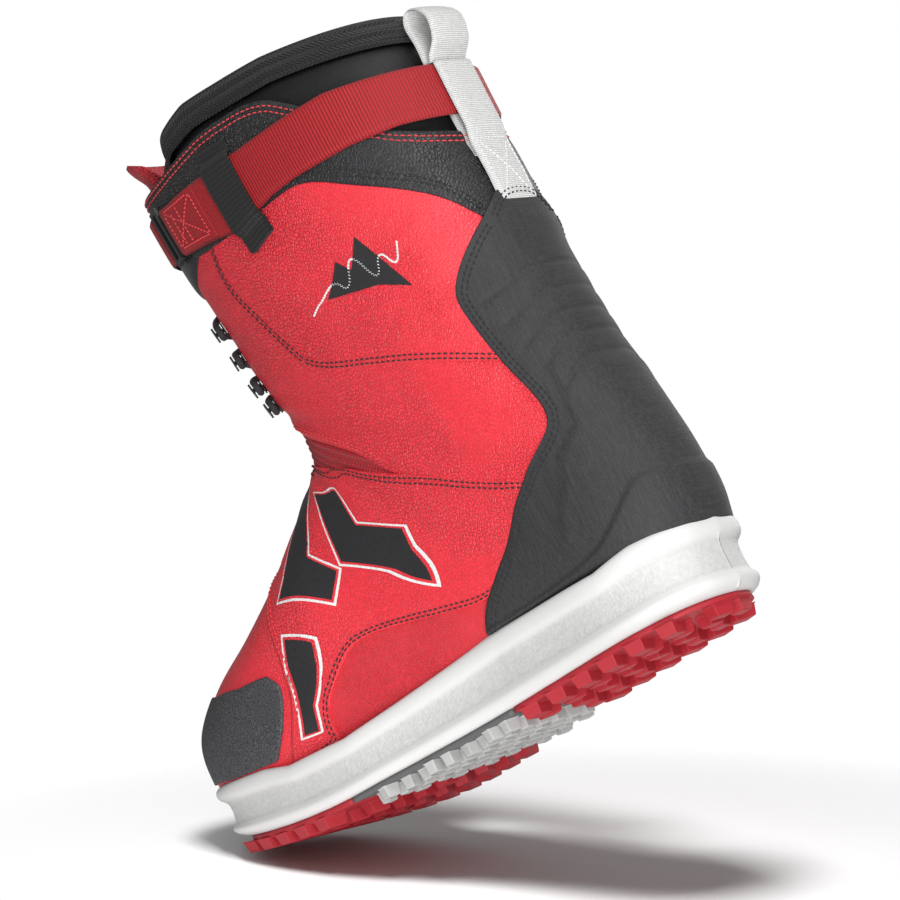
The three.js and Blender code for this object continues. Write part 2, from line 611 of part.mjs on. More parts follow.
function laceHook(s, deg) {
  const plate = new THREE.BoxGeometry(7, 8, 0.8).translate(0, 0, 0.4);
  const post = new THREE.CylinderGeometry(1.1, 1.1, 5, 8).rotateX(Math.PI / 2).translate(0, 0, 3);
  const head = new THREE.BoxGeometry(7, 6.5, 1).translate(0, 0, 5.4);
  return onSurface(join([plate, post, head]), s, deg, 0.5);
}

for (const [side, , sign] of SIDES) {
  HOOK_STATIONS.forEach((s, k) => {
    add(`lace_hook_${k + 1}_${side}`, laceHook(s, sign * HOOK_ANGLE), STEEL, GLOSS.metal, METAL);
  });
}

// One lace: down one side of the crossings and up the other, round the outside of every post.
const TURN_RADIUS = 3.7;
const TURN_HEIGHT = 3.3;
const UNDER = -1.2;           // height over the surface where the lace passes below, and above, its other run
const OVER = 2.2;
const EDGE_HEIGHT = 3.3;      // over the edge of the facing
function lacePath() {
  const points = [];
  const turnAt = (k, sign, rising) => {
    const post = onSurfacePoint(HOOK_STATIONS[k], sign * HOOK_ANGLE);
    for (const deg of [-85, -42, 0, 42, 85]) {
      const angle = THREE.MathUtils.degToRad(rising ? deg : -deg);
      points.push(post(sign * TURN_RADIUS * Math.cos(angle), TURN_RADIUS * Math.sin(angle), TURN_HEIGHT));
    }
  };
  const cross = (k0, k1, sign, lift) => {
    const run = [[0.17, 20, EDGE_HEIGHT], [0.28, 13, lift + 0.4], [0.5, 0, lift], [0.72, -13, lift + 0.4],
      [0.83, -20, EDGE_HEIGHT]];
    for (const [t, deg, height] of run) {
      points.push(skin(mix(HOOK_STATIONS[k0], HOOK_STATIONS[k1], t), sign * deg, height));
    }
  };
  const last = HOOK_STATIONS.length - 1;
  const top = last % 2 ? 1 : -1;
  const tail = [[16.55, 12, -1.6], [16, 15, -1.2], [15.82, 20, EDGE_HEIGHT]];
  for (const [s, deg, height] of tail) points.push(skin(s, top * deg, height));
  for (let k = last; k >= 0; k--) {
    const sign = k % 2 ? 1 : -1;
    turnAt(k, sign, false);
    if (k > 0) cross(k, k - 1, sign, UNDER);
  }
  points.push(skin(12.6, -20, EDGE_HEIGHT), skin(12.45, 0, UNDER), skin(12.6, 20, EDGE_HEIGHT));
  for (let k = 0; k <= last; k++) {
    const sign = k % 2 ? -1 : 1;
    turnAt(k, sign, true);
    if (k < last) cross(k, k + 1, sign, OVER);
  }
  for (const [s, deg, height] of tail.reverse()) points.push(skin(s, -top * deg, height));
  return points;
}

function onSurfacePoint(s, deg) {
  const { p, up, out, along } = frameAt(s, deg);
  return (x, y, z) => p.clone().addScaledVector(along, x).addScaledVector(up, y).addScaledVector(out, z);
}

// A cord through the points, carrying its section along without twist.
function cord(points, radius, sides) {
  const side = new THREE.Vector3(0, 0, 1);
  const rings = points.map((p, k) => {
    const run = points[Math.min(k + 1, points.length - 1)].clone().sub(points[Math.max(k - 1, 0)]).normalize();
    side.addScaledVector(run, -side.dot(run)).normalize();
    const other = new THREE.Vector3().crossVectors(run, side);
    return [...Array(sides).keys()].map((j) => {
      const angle = 2 * Math.PI * j / sides;
      return p.clone().addScaledVector(side, radius * Math.cos(angle))
        .addScaledVector(other, radius * Math.sin(angle));
    });
  });
  return lathe(rings);
}

add('lace', cord(lacePath(), LACE_RADIUS, 5), BLACK, GLOSS.cloth);

// ---- strap --------------------------------------------------------------------------------------
const STRAP_LOW = [[17.2, 0], [17.2, 83], [17.55, 95], [17.7, 104], [17.9, 125], [18, 145], [18, 180]];
const STRAP_HIGH = [[18.3, 0], [18.35, 60], [18.6, 85], [18.9, 105], [19.15, 125], [19.15, 180]];
const RING_ANGLE = 46;
const TAIL_END = -50;
const TAIL_NARROW = 0.03;     // how far the tail's edges stand inside the strap's, in stations
const PAD_HALF = 62;
const PAD_FACES = [0.4, 2.2]; // the pad's inner and outer face over the upper's surface
const KEEPER = 1.3;

const strapBand = (from, to, low, high, columns, narrow = 0) => slab((u, v, face) => {
  const deg = mix(from, to, v);
  const s = mix(along(STRAP_LOW, deg) + narrow, along(STRAP_HIGH, deg) - narrow, u);
  return skin(s, deg, face ? high : low);
}, 1, columns, 0);

add('strap_pad', slab((u, v, face) => {
  const deg = (2 * v - 1) * PAD_HALF;
  const low = mix(16.25, 17.3, (2 * v - 1) ** 2);
  return skin(mix(low, 18.2, u), deg, PAD_FACES[face]);
}, 3, 14, 0), BLACK, 0.3);
add('power_strap', strapBand(
  RING_ANGLE + 7, 360 + RING_ANGLE - 5.5, STRAP_OUT, STRAP_OUT + STRAP, 40,
), WEBBING, GLOSS.cloth);
add('strap_tail', strapBand(
  RING_ANGLE - 5.5, TAIL_END, STRAP_OUT + STRAP + GAP, STRAP_OUT + 2 * STRAP + GAP, 12, TAIL_NARROW,
), WEBBING, GLOSS.cloth);

function strapRing() {
  const HEIGHT = 30;
  const WIDTH = 9;
  const outline = new THREE.Shape();
  outline.moveTo(-WIDTH / 2, -HEIGHT / 2).lineTo(WIDTH / 2, -HEIGHT / 2).lineTo(WIDTH / 2, HEIGHT / 2);
  outline.lineTo(-WIDTH / 2, HEIGHT / 2).closePath();
  const hole = new THREE.Path();
  const WIRE = 2.4;
  const [w, h] = [WIDTH / 2 - WIRE, HEIGHT / 2 - WIRE];
  hole.moveTo(-w, -h).lineTo(-w, h).lineTo(w, h).lineTo(w, -h).closePath();
  outline.holes.push(hole);
  const geometry = new THREE.ExtrudeGeometry(outline, { depth: WIRE, bevelEnabled: false });
  return onSurface(closed(geometry), 17.78, RING_ANGLE + 1, STRAP_OUT + 0.3);
}
add('strap_ring', strapRing(), STEEL, GLOSS.metal, METAL);

// webbing keepers that hold the strap down
const keeperRow = [[-0.35, 0.4], [-0.12, 0.4], [0, STRAP_OUT + STRAP + GAP], [0.5, STRAP_OUT + STRAP + GAP],
  [1, STRAP_OUT + STRAP + GAP], [1.12, 0.4], [1.35, 0.4]];
for (const [side, , sign] of SIDES) {
  add(`strap_keeper_${side}`, slab((u, v, face) => {
    const deg = sign * mix(81, 90.5, v);
    const [t, out] = keeperRow[Math.round(u * (keeperRow.length - 1))];
    const low = along(STRAP_LOW, deg);
    const high = along(STRAP_HIGH, deg);
    return skin(mix(low, high, t), deg, out + (face ? KEEPER : 0));
  }, keeperRow.length - 1, 2, 0), BLACK, GLOSS.cloth);
}

// ---- pull loop ----------------------------------------------------------------------------------
// Places across the loop's width, and how far round the back each lies on the surface.
const ACROSS = [-1, -0.5, 0, 0.5, 1].map((t) => t * LOOP_WIDTH / 2);

function rearPoint(s, across, out) {
  const [, , , , half, , , squareness] = catmull(STATIONS, s);
  const round = Math.asin((Math.abs(across) / (half + out)) ** (squareness / 2));
  return skin(s, 180 - Math.sign(across) * THREE.MathUtils.radToDeg(round), out);
}

// A band lying on the back of the cuff, through rows of [station, height over the surface].
function rearBand(rows) {
  return slab((u, v, face) => {
    const [s, out] = rows[Math.round(u * (rows.length - 1))];
    return rearPoint(s, ACROSS[Math.round(v * 4)], out + (face ? LOOP : 0));
  }, rows.length - 1, 4, 0);
}

// A band standing free of the cuff, along a line in side view that starts and ends on the surface.
function freeBand(line) {
  const curl = (across) => rearPoint(19, across, 0).x - rearPoint(19, 0, 0).x;
  return slab((u, v, face) => {
    const k = Math.round(u * (line.length - 1));
    const [before, here, after] = [line[Math.max(k - 1, 0)], line[k], line[Math.min(k + 1, line.length - 1)]];
    const run = new THREE.Vector2(after[0] - before[0], after[1] - before[1]).normalize();
    const across = ACROSS[Math.round(v * 4)];
    const x = here[0] - run.y * LOOP * face + curl(across);
    return new THREE.Vector3(x, across, here[1] + run.x * LOOP * face);
  }, line.length - 1, 4, 0);
}

const OVER_STRAP = STRAP_OUT + STRAP + 0.6;
const UNDER_STRAP = 0.4;
const HINGE_STATION = 19.3;
const BASE_TOP = HINGE_STATION - 0.12;
const outerRun = [[16.45, 0.5], [16.9, 0.5], [17.3, 0.5], [17.75, OVER_STRAP], [18.4, OVER_STRAP],
  [BASE_TOP, OVER_STRAP]];
const innerRun = [[17.1, UNDER_STRAP + 0.2], [17.7, UNDER_STRAP], [18.4, UNDER_STRAP], [BASE_TOP, UNDER_STRAP]];
const foot = rearPoint(HINGE_STATION, 0, OVER_STRAP);
const heel = rearPoint(HINGE_STATION, 0, UNDER_STRAP);
const bow = [[0, 0], [-7, 7], [-9, 17], [-5, 24], [2, 26]].map(([x, z]) => [foot.x + x, foot.z + z]);
add('pull_loop_base', join([rearBand(outerRun), rearBand(innerRun)]), WHITE, GLOSS.cloth);
const loopLine = [...bow, [heel.x + 1, heel.z + 19], [heel.x, heel.z + 8], [heel.x, heel.z]];
add('pull_loop', freeBand(loopLine), WHITE, GLOSS.cloth);

// ---- origin at the middle of the footprint, on the ground ---------------------------------------
const box = new THREE.Box3().setFromObject(group);
const middle = box.getCenter(new THREE.Vector3());
group.position.set(-middle.x, -middle.y, -box.min.z);
group.updateMatrixWorld(true);

export default group;
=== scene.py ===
"""Right snowboard boot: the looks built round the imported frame. Metres, +X toe, +Y inner side, +Z up."""
import math

import bpy
import numpy as np
from mathutils import Matrix, Vector
from mathutils.bvhtree import BVHTree
from mathutils.geometry import delaunay_2d_cdt


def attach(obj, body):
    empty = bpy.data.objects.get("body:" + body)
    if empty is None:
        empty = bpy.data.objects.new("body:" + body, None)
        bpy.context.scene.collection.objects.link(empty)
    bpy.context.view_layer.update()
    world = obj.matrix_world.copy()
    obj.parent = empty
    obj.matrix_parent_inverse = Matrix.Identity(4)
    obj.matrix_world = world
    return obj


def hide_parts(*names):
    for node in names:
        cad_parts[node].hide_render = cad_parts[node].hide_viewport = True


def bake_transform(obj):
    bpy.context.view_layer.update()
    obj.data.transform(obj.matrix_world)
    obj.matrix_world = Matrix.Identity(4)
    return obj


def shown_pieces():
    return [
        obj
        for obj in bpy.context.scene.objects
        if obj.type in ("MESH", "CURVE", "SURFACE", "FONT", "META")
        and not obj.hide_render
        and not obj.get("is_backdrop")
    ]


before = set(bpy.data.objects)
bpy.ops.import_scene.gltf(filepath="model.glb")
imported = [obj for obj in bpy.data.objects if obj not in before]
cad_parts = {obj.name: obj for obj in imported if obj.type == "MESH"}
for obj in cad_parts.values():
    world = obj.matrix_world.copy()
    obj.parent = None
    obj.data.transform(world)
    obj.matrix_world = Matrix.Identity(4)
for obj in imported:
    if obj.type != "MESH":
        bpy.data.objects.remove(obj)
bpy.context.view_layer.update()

MM = 0.001
TO_ROW = np.array([-152.521, 0.0, 0.0])      # from the heel's rear to the middle of the footprint, mm

# ---- the boot's surface: the same stations as the CAD, in mm ----------------------------------------
STATIONS = np.array([
    [303, 67, 304, 48, 9, 6, 2.6, 3.2], [300, 75, 301, 38, 25, 6, 2.6, 3.2],
    [290, 85, 290, 32, 37, 6, 2.6, 3.2], [268, 98, 268, 26, 47, 5, 2.6, 3.2],
    [243, 111, 240, 23, 52, 3, 2.5, 3.2], [219, 126, 208, 20, 53.5, 1, 2.4, 3.2],
    [200, 141, 172, 20, 51, 0, 2.4, 3.2], [191, 152, 132, 20, 47, -1, 2.4, 3.2],
    [183, 160, 92, 20, 45, -1, 2.4, 3.2], [180, 167, 50, 20, 44, -1, 2.4, 3.1],
    [180, 174, 10, 26, 43, 0, 2.4, 2.9], [181, 182, -2, 50, 43, 0, 2.4, 2.7],
    [183, 190, -3, 78, 44, 0, 2.4, 2.4], [186, 202, 2, 105, 46, 0, 2.4, 2.4],
    [189, 216, 8, 132, 49, 0, 2.4, 2.4], [192, 233, 13, 165, 52, 0, 2.3, 2.3],
    [195, 252, 17, 200, 55, 0, 2.3, 2.3], [199, 275, 20.5, 235, 57, 0, 2.3, 2.3],
    [202, 298, 23, 264, 58, 0, 2.3, 2.3], [204, 318, 24, 288, 58, 0, 2.3, 2.3],
    [205, 334, 25, 306, 58, 0, 2.3, 2.3], [206, 350, 26, 324, 58, 0, 2.3, 2.3]])


def catmull(rows, at):
    last = len(rows) - 1
    t = np.clip(np.asarray(at, float), 0, last)
    i = np.minimum(t.astype(int), last - 1)
    a, b, c, d = (rows[np.clip(k, 0, last)] for k in (i - 1, i, i + 1, i + 2))
    f = (t - i)[..., None]
    square, cube = 2 * a - 5 * b + 4 * c - d, 3 * b - a - 3 * c + d
    return 0.5 * (2 * b + (c - a) * f + square * f ** 2 + cube * f ** 3)


def power(v, n):
    return np.sign(v) * np.abs(v) ** n


def smooth(low, high, v):
    t = np.clip((np.asarray(v, float) - low) / (high - low), 0, 1)
    return t * t * (3 - 2 * t)


def skin(s, deg, out=0.0):
    """Points at station s and angle deg round from the front, out millimetres outside the surface."""
    s, deg, out = np.broadcast_arrays(np.asarray(s, float), np.asarray(deg, float), np.asarray(out, float))
    fx, fz, bx, bz, half, centre, front, rear = np.moveaxis(catmull(STATIONS, np.maximum(s, 0)), -1, 0)
    angle = np.radians(deg)
    n = np.where(np.cos(angle) < 0, rear, front)
    reach = power(np.cos(angle), 2 / n) * (0.5 + out / np.hypot(bx - fx, bz - fz))
    side = power(np.sin(angle), 2 / n) * (half + out)
    toeward = out * np.clip(1 - s / 2.2, 0, 1)
    x, z = (fx + bx) / 2 + (fx - bx) * reach + toeward, (fz + bz) / 2 + (fz - bz) * reach
    p = np.stack([x, centre + side, z], -1)
    tip = np.stack([bx + 0.6 + out, centre, bz + 3], -1)
    p = np.where(s[..., None] < 0, p + (tip - p) * -s[..., None], p)
    return (p + TO_ROW) * MM


def spot(x, y, z):
    return (np.array([x, y, z], float) + TO_ROW) * MM


def grid(rows, cols, left=0.0):
    """Even places down 0 to 1 and across left to 1."""
    return np.meshgrid(np.linspace(0, 1, rows), np.linspace(left, 1, cols), indexing="ij")


def distance(p):
    """How far each point of a line is from its start."""
    return np.concatenate([[0], np.cumsum(np.linalg.norm(np.diff(p, axis=0), axis=-1))])


def resampled(p, far, at):
    """The line's points at those distances."""
    return np.stack([np.interp(at, far, p[:, k]) for k in range(p.shape[1])], -1)


# ---- seams on the surface ---------------------------------------------------------------------------
def rounded(seam, times=2):
    """The seam with its corners cut, its ends kept."""
    p = np.array(seam, float)
    for _ in range(times):
        q = [p[0]]
        for a, b in zip(p[:-1], p[1:]):
            q += [a * 0.75 + b * 0.25, a * 0.25 + b * 0.75]
        p = np.array(q + [p[-1]])
    return p


def walk(seam):
    p = np.array(seam, float)
    steps = np.hypot(np.diff(p[:, 0]) * 20, np.diff(p[:, 1]) * 0.9)
    ends = np.concatenate([[0], np.cumsum(steps)]) / steps.sum()
    return lambda t: np.stack([np.interp(t, ends, p[:, 0]), np.interp(t, ends, p[:, 1])], -1)


def patch(bottom, top, front, rear):
    b, t, f, r = (walk(seam) for seam in (bottom, top, front, rear))
    b0, b1, t0, t1 = b(0.0), b(1.0), t(0.0), t(1.0)

    def at(u, v):
        u_, v_ = u[..., None], v[..., None]
        return ((1 - u_) * b(v) + u_ * t(v) + (1 - v_) * f(u) + v_ * r(u) - (1 - u_) * (1 - v_) * b0
                - (1 - u_) * v_ * b1 - u_ * (1 - v_) * t0 - u_ * v_ * t1)
    return at


def mirrored(seam):
    return [[s, -d] for s, d in seam]


def both_sides(half):
    """The seam from the outer side through its first point, on the middle line, to the inner side."""
    return mirrored(half)[::-1] + [list(p) for p in half[1:]]


def around(half):
    """The seam round the back from the inner side to the outer side. Its last point is at 180 degrees."""
    return [list(p) for p in half] + [[s, 360 - d] for s, d in half[::-1][1:]]


LOWER_TOP = [[8.35, 0], [8.9, 25], [10.2, 57], [10.4, 68], [10.95, 90], [11.3, 110]]
TOE_SEAM = [[5, 0], [5, 72], [5, 84], [4.9, 90], [4.8, 94], [4.5, 104], [4.2, 118], [4.05, 130]]
ARCH_SEAM = [[4.05, 130], [5.15, 127], [5.2, 116], [5.35, 105], [5.7, 99], [6.1, 95], [6.5, 94], [7.2, 98],
             [8, 105], [8.5, 110], [9.4, 107], [10.2, 105], [11.3, 110]]
BACK_EDGE = [[7.85, 134], [7.9, 123], [8.4, 110], [9.2, 103], [10.2, 99], [11.3, 108], [12.1, 121],
             [12.6, 129], [13.1, 132], [14.1, 129], [15, 128], [15.3, 130], [15.7, 138], [16.1, 150],
             [16.3, 158]]
BACK_LOW = [[7.85, 134], [9, 136], [9.8, 142], [10.15, 152], [10.3, 165], [10.35, 180]]
BACK_TOP = [[16.3, 158], [16.5, 164], [16.68, 171], [16.74, 180]]
CUFF_LOW = [[14.2, 72], [14, 79], [14.1, 94], [14.1, 109], [14, 136]]
CUFF_FRONT = [[14.2, 72], [14.9, 67], [15.5, 64], [16, 61], [16.5, 61], [17.3, 66]]
CUFF_REAR = [[14, 136], [15, 136], [15.4, 140], [15.9, 148], [16.3, 158]]
COLLAR_LOW = [[17.1, 24], [17.1, 50], [17.15, 70], [17.3, 84], [17.6, 97], [17.65, 106], [17.3, 119],
              [17.05, 132], [16.75, 147], [16.35, 158], [16.2, 170], [16.2, 180]]
COLLAR_TOP = [[18.9, 24], [18.9, 51], [19.2, 71], [19.7, 88], [19.8, 104], [19.2, 114], [18.3, 130],
              [17.85, 147], [17.65, 180]]
STRAP_LOW = [[17.2, 0], [17.2, 83], [17.55, 95], [17.7, 104], [17.9, 125], [18, 145], [18, 180]]
STRAP_HIGH = [[18.3, 0], [18.35, 60], [18.6, 85], [18.9, 105], [19.15, 125], [19.15, 180]]
SIDES = {"medial": lambda seam: seam, "lateral": mirrored}


# ---- materials --------------------------------------------------------------------------------------
class Mat:
    """A node material being wired. Each helper returns an output socket."""

    def __init__(self, name, colour, rough, **values):
        self.m = bpy.data.materials.new(name)
        self.m.use_nodes = True
        self.t = self.m.node_tree
        self.b = self.t.nodes["Principled BSDF"]
        self.colour = colour
        self.b.inputs["Base Color"].default_value = (*colour, 1)
        self.b.inputs["Roughness"].default_value = rough
        for key, value in values.items():
            self.b.inputs[key.replace("_", " ")].default_value = value

    def node(self, kind, **values):
        n = self.t.nodes.new(kind)
        for key, value in values.items():
            if hasattr(n, key):
                setattr(n, key, value)
            else:
                n.inputs[key.replace("_", " ")].default_value = value
        return n

    def link(self, a, b):
        self.t.links.new(a, b)

    def coords(self, scale=(1, 1, 1), turn=(0, 0, 0), uv=False):
        c = self.node("ShaderNodeTexCoord")
        m = self.node("ShaderNodeMapping")
        m.inputs["Scale"].default_value = scale
        m.inputs["Rotation"].default_value = turn
        self.link(c.outputs["UV" if uv else "Object"], m.inputs["Vector"])
        return m.outputs["Vector"]

    def noise(self, vector, scale, detail=3.0, rough=0.55):
        n = self.node("ShaderNodeTexNoise")
        n.inputs["Scale"].default_value = scale
        n.inputs["Detail"].default_value = detail
        n.inputs["Roughness"].default_value = rough
        self.link(vector, n.inputs["Vector"])
        return n.outputs["Fac"]

    def cells(self, vector, scale, feature="DISTANCE_TO_EDGE"):
        n = self.node("ShaderNodeTexVoronoi", feature=feature)
        n.inputs["Scale"].default_value = scale
        self.link(vector, n.inputs["Vector"])
        return n.outputs["Distance"]

    def ramp(self, value, low, high, a=0.0, b=1.0):
        n = self.node("ShaderNodeMapRange")
        for key, v in (("From Min", low), ("From Max", high), ("To Min", a), ("To Max", b)):
            n.inputs[key].default_value = v
        self.link(value, n.inputs["Value"])
        return n.outputs["Result"]

    def math(self, operation, a, b=0.0):
        n = self.node("ShaderNodeMath", operation=operation)
        for value, socket in ((a, n.inputs[0]), (b, n.inputs[1])):
            if isinstance(value, (int, float)):
                socket.default_value = value
            else:
                self.link(value, socket)
        return n.outputs[0]

    def wave(self, value, per_metre):
        """A smooth 0 to 1 ripple of value, which is in metres."""
        return self.ramp(self.math("SINE", self.math("MULTIPLY", value, per_metre * 2 * math.pi)), -1, 1)

    def split(self, vector):
        n = self.node("ShaderNodeSeparateXYZ")
        self.link(vector, n.inputs[0])
        return n.outputs

    def tint(self, factor, low, high):
        """Base colour between two multiples of the material's own colour."""
        n = self.node("ShaderNodeMix", data_type="RGBA")
        for key, k in ((6, low), (7, high)):
            n.inputs[key].default_value = (*[min(1, c * k) for c in self.colour], 1)
        self.link(factor, n.inputs[0])
        self.link(n.outputs[2], self.b.inputs["Base Color"])
        return n.outputs[2]

    def rough(self, factor, low, high):
        self.link(self.ramp(factor, 0, 1, low, high), self.b.inputs["Roughness"])

    def bump(self, height, distance, strength=1.0):
        n = self.node("ShaderNodeBump")
        n.inputs["Strength"].default_value = strength
        n.inputs["Distance"].default_value = distance
        self.link(height, n.inputs["Height"])
        old = self.b.inputs["Normal"]
        if old.is_linked:
            self.link(old.links[0].from_socket, n.inputs["Normal"])
        self.link(n.outputs["Normal"], old)


def leather(name, colour, grain=0.5, cell=620, rough=(0.36, 0.56)):
    m = Mat(name, colour, 0.45, Specular_IOR_Level=0.5)
    here = m.coords()
    wobble = m.noise(here, 260, 2)
    pebble = m.ramp(m.cells(here, cell), 0.0, 0.16)
    fine = m.noise(here, 2400, 2)
    patchy = m.ramp(m.noise(here, 16, 2), 0.36, 0.64)
    height = m.math("MULTIPLY", pebble, m.ramp(patchy, 0, 1, 0.25, 1.0))
    m.bump(height, 0.0011 * grain, 1.0)
    m.bump(fine, 0.00006, 0.6)
    m.bump(m.noise(here, 60, 3), 0.0006, 0.25)
    # Base colour darker along the creases between the pebbles and lighter on their tops: painted shade in the
    # creases, with random tone from noise.
    crease_shade_and_tone = m.math("MULTIPLY", m.math("MULTIPLY", pebble, wobble), 1.6)
    m.tint(crease_shade_and_tone, 0.86, 1.14)
    m.rough(m.noise(here, 90, 4), *rough)
    return m.m


def brushed(name, colour):
    m = Mat(name, colour, 0.5)
    a = m.noise(m.coords((1500, 1500, 40), (0.5, 0.25, 0.0)), 1.0, 2)
    b = m.noise(m.coords((1500, 40, 1500), (0.0, 0.9, 0.4)), 1.0, 2)
    cross = m.math("MULTIPLY", a, b)
    m.tint(m.ramp(cross, 0.14, 0.42), 0.72, 1.35)
    m.rough(m.ramp(cross, 0.1, 0.5), 0.6, 0.74)
    m.b.inputs["Specular IOR Level"].default_value = 0.3
    m.bump(cross, 0.0002, 0.7)
    m.bump(m.noise(m.coords(), 45, 3), 0.0006, 0.2)
    return m.m


def rubber(name, colour, speckle=0.0, grain=0.00012, rough=(0.5, 0.68)):
    m = Mat(name, colour, 0.6)
    here = m.coords()
    fine = m.noise(here, 1300, 3, 0.7)
    dust = m.ramp(m.noise(here, 1900, 2), 0.44, 0.66)
    m.tint(dust, 1.0 - 0.25 * (speckle > 0), 1.0 + speckle)
    m.rough(m.noise(here, 60, 3), *rough)
    m.bump(fine, grain, 0.8)
    return m.m


def foam(name, colour):
    """Moulded foam: a smooth lip, fine grain in the band below it. UV y is the place on the side, 0 to 1."""
    m = Mat(name, colour, 0.5, Subsurface_Weight=0.06, Subsurface_Radius=(0.01, 0.01, 0.01))
    here = m.coords()
    place = m.split(m.coords(uv=True))[1]
    band = m.math("MULTIPLY", m.ramp(place, 0.24, 0.30), m.ramp(place, 0.72, 0.66))
    grain = m.math("MULTIPLY", m.noise(here, 850, 3, 0.6), band)
    m.bump(grain, 0.00055, 0.85)
    m.bump(m.noise(here, 1500, 2), 0.00003, 0.5)
    m.tint(m.ramp(m.math("MULTIPLY", m.noise(here, 420, 3), band), 0, 0.7), 1.0, 0.8)
    m.rough(m.noise(here, 50, 3), 0.4, 0.56)
    return m.m


def webbing(name, colour, rib=620, cross=900, sheen=0.06, depth=0.00035, rough=0.62):
    """Woven tape. UV is in metres, x across the tape and y along it."""
    m = Mat(name, colour, rough, Sheen_Weight=sheen)
    x, y, _ = m.split(m.coords(uv=True))
    ribs = m.wave(y, rib)
    sway = m.ramp(m.math("SINE", m.math("MULTIPLY", y, rib * math.pi)), -1, 1)
    threads = m.wave(m.math("ADD", x, m.math("MULTIPLY", sway, 0.0006)), cross)
    weave = m.math("ADD", m.math("MULTIPLY", ribs, 0.7), m.math("MULTIPLY", threads, 0.3))
    # Base colour darker in the troughs of the weave: painted shade between the ribs, with random tone from
    # noise.
    m.tint(m.math("MULTIPLY", weave, m.ramp(m.noise(m.coords(), 700, 3), 0.3, 0.7, 0.7, 1.2)), 0.5, 1.2)
    m.bump(weave, depth, 0.9)
    m.bump(m.noise(m.coords(), 3000, 2), 0.00006, 0.5)
    return m.m


def knit(name, colour, pitch=210, depth=0.0009, sheen=0.08):
    """Ribbed knit in short slanted floats that change side row by row. UV is in metres."""
    m = Mat(name, colour, 0.55, Sheen_Weight=sheen)
    x, y, _ = m.split(m.coords(uv=True))
    saw = m.math("ABSOLUTE", m.math("SUBTRACT", m.math("FRACT", m.math("MULTIPLY", x, pitch)), 0.5))
    slant = m.wave(m.math("ADD", y, m.math("MULTIPLY", saw, 0.006)), pitch * 2.2)
    rib = m.ramp(saw, 0.02, 0.12)
    height = m.math("MULTIPLY", slant, rib)
    # Base colour follows the knit's height: painted shade in the grooves and between the floats, painted
    # highlight on the raised floats.
    m.tint(height, 0.45, 2.2)
    m.bump(height, depth, 0.9)
    m.bump(m.noise(m.coords(), 1800, 3), 0.0001, 0.6)
    return m.m


def cloth(name, colour, per_metre=900, sheen=0.06):
    m = Mat(name, colour, 0.78, Sheen_Weight=sheen)
    here = m.coords((1, 1, 1), (0.3, 0.2, 0.7))
    x, y, z = m.split(here)
    one, other = (m.wave(m.math(sign, a, z), per_metre) for sign, a in (("ADD", x), ("SUBTRACT", y)))
    weave = m.math("MULTIPLY", one, other)
    m.tint(m.math("ADD", weave, m.noise(here, 80, 3)), 0.6, 1.3)
    m.bump(weave, 0.0002, 0.8)
    m.bump(m.noise(here, 35, 3), 0.0012, 0.3)
    return m.m


def steel(name):
    m = Mat(name, (0.055, 0.056, 0.06), 0.3, Metallic=0.7)
    lines = m.noise(m.coords((2500, 2500, 60)), 1.0, 2)
    m.rough(lines, 0.28, 0.44)
    return m.m


M = {
    "leather": leather("leather_red", (0.80, 0.036, 0.054), 0.42, 600, (0.32, 0.5)),
    "leather_smooth": leather("leather_red_fine", (0.70, 0.03, 0.045), 0.3, 1100),
    "black_leather": leather("leather_black", (0.021, 0.021, 0.023), 0.6, 600, (0.34, 0.5)),
    "print": leather("print_black", (0.020, 0.020, 0.022), 0.15, 560, (0.42, 0.6)),
    "print_white": leather("print_white", (0.85, 0.85, 0.84), 0.15, 620, (0.45, 0.6)),
    "backstay": brushed("backstay_shell", (0.038, 0.038, 0.04)),
    "toe": rubber("toe_rubber", (0.034, 0.034, 0.037), 2.6, 0.0003, (0.55, 0.75)),
    "sole_red": rubber("outsole_rubber", (0.40, 0.013, 0.024)),
    "sole_grey": rubber("insert_rubber", (0.46, 0.46, 0.455), 0.0, 0.00006, (0.35, 0.5)),
    # the insert's plate, seen between its grey lugs, is dark: painted shade in the gaps between the lugs
    "painted_gap_shade": rubber("insert_plate_painted_shade", (0.11, 0.11, 0.11)),
    "foam": foam("foam", (0.68, 0.68, 0.67)),
    "strap": webbing("webbing_red", (0.42, 0.005, 0.011)),
    "keeper": webbing("webbing_black", (0.014, 0.014, 0.015), 420, 500),
    "loop": webbing("webbing_white", (0.74, 0.74, 0.73), 1000, 1100, 0.1, 0.0002),
    "gusset": webbing("mesh_red", (0.52, 0.016, 0.03), 520, 520, 0.08, 0.0005),
    "rim": knit("rim_knit", (0.008, 0.008, 0.009), 200, 0.0014),
    "liner": cloth("liner_cloth", (0.008, 0.008, 0.009), 700),
    "panel": leather("liner_panel", (0.004, 0.004, 0.0045), 0.2, 1500, (0.42, 0.55)),
    "tongue": leather("tongue_face", (0.62, 0.03, 0.045), 0.7),
    "pad": leather("pad_black", (0.016, 0.016, 0.018), 0.12, 1200, (0.14, 0.26)),
    "cord": cloth("cord_black", (0.02, 0.02, 0.022), 420),
    "board": cloth("board_fibre", (0.30, 0.22, 0.13), 500, 0.1),
    "steel": steel("steel"),
    "thread_black": cloth("thread_black", (0.016, 0.016, 0.018), 1500),
    "thread_red": cloth("thread_red", (0.66, 0.05, 0.06), 1500),
    "thread_white": cloth("thread_white", (0.82, 0.82, 0.80), 1500),
}


def hold(obj, body, replaces=()):
    """Rides on a body, or for the ankle is left unparented with its placing baked in, in place of those CAD
    nodes.
    """
    if replaces:
        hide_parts(*replaces)
    if body == "ankle":
        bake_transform(obj)
    else:
        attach(obj, body)
    return obj


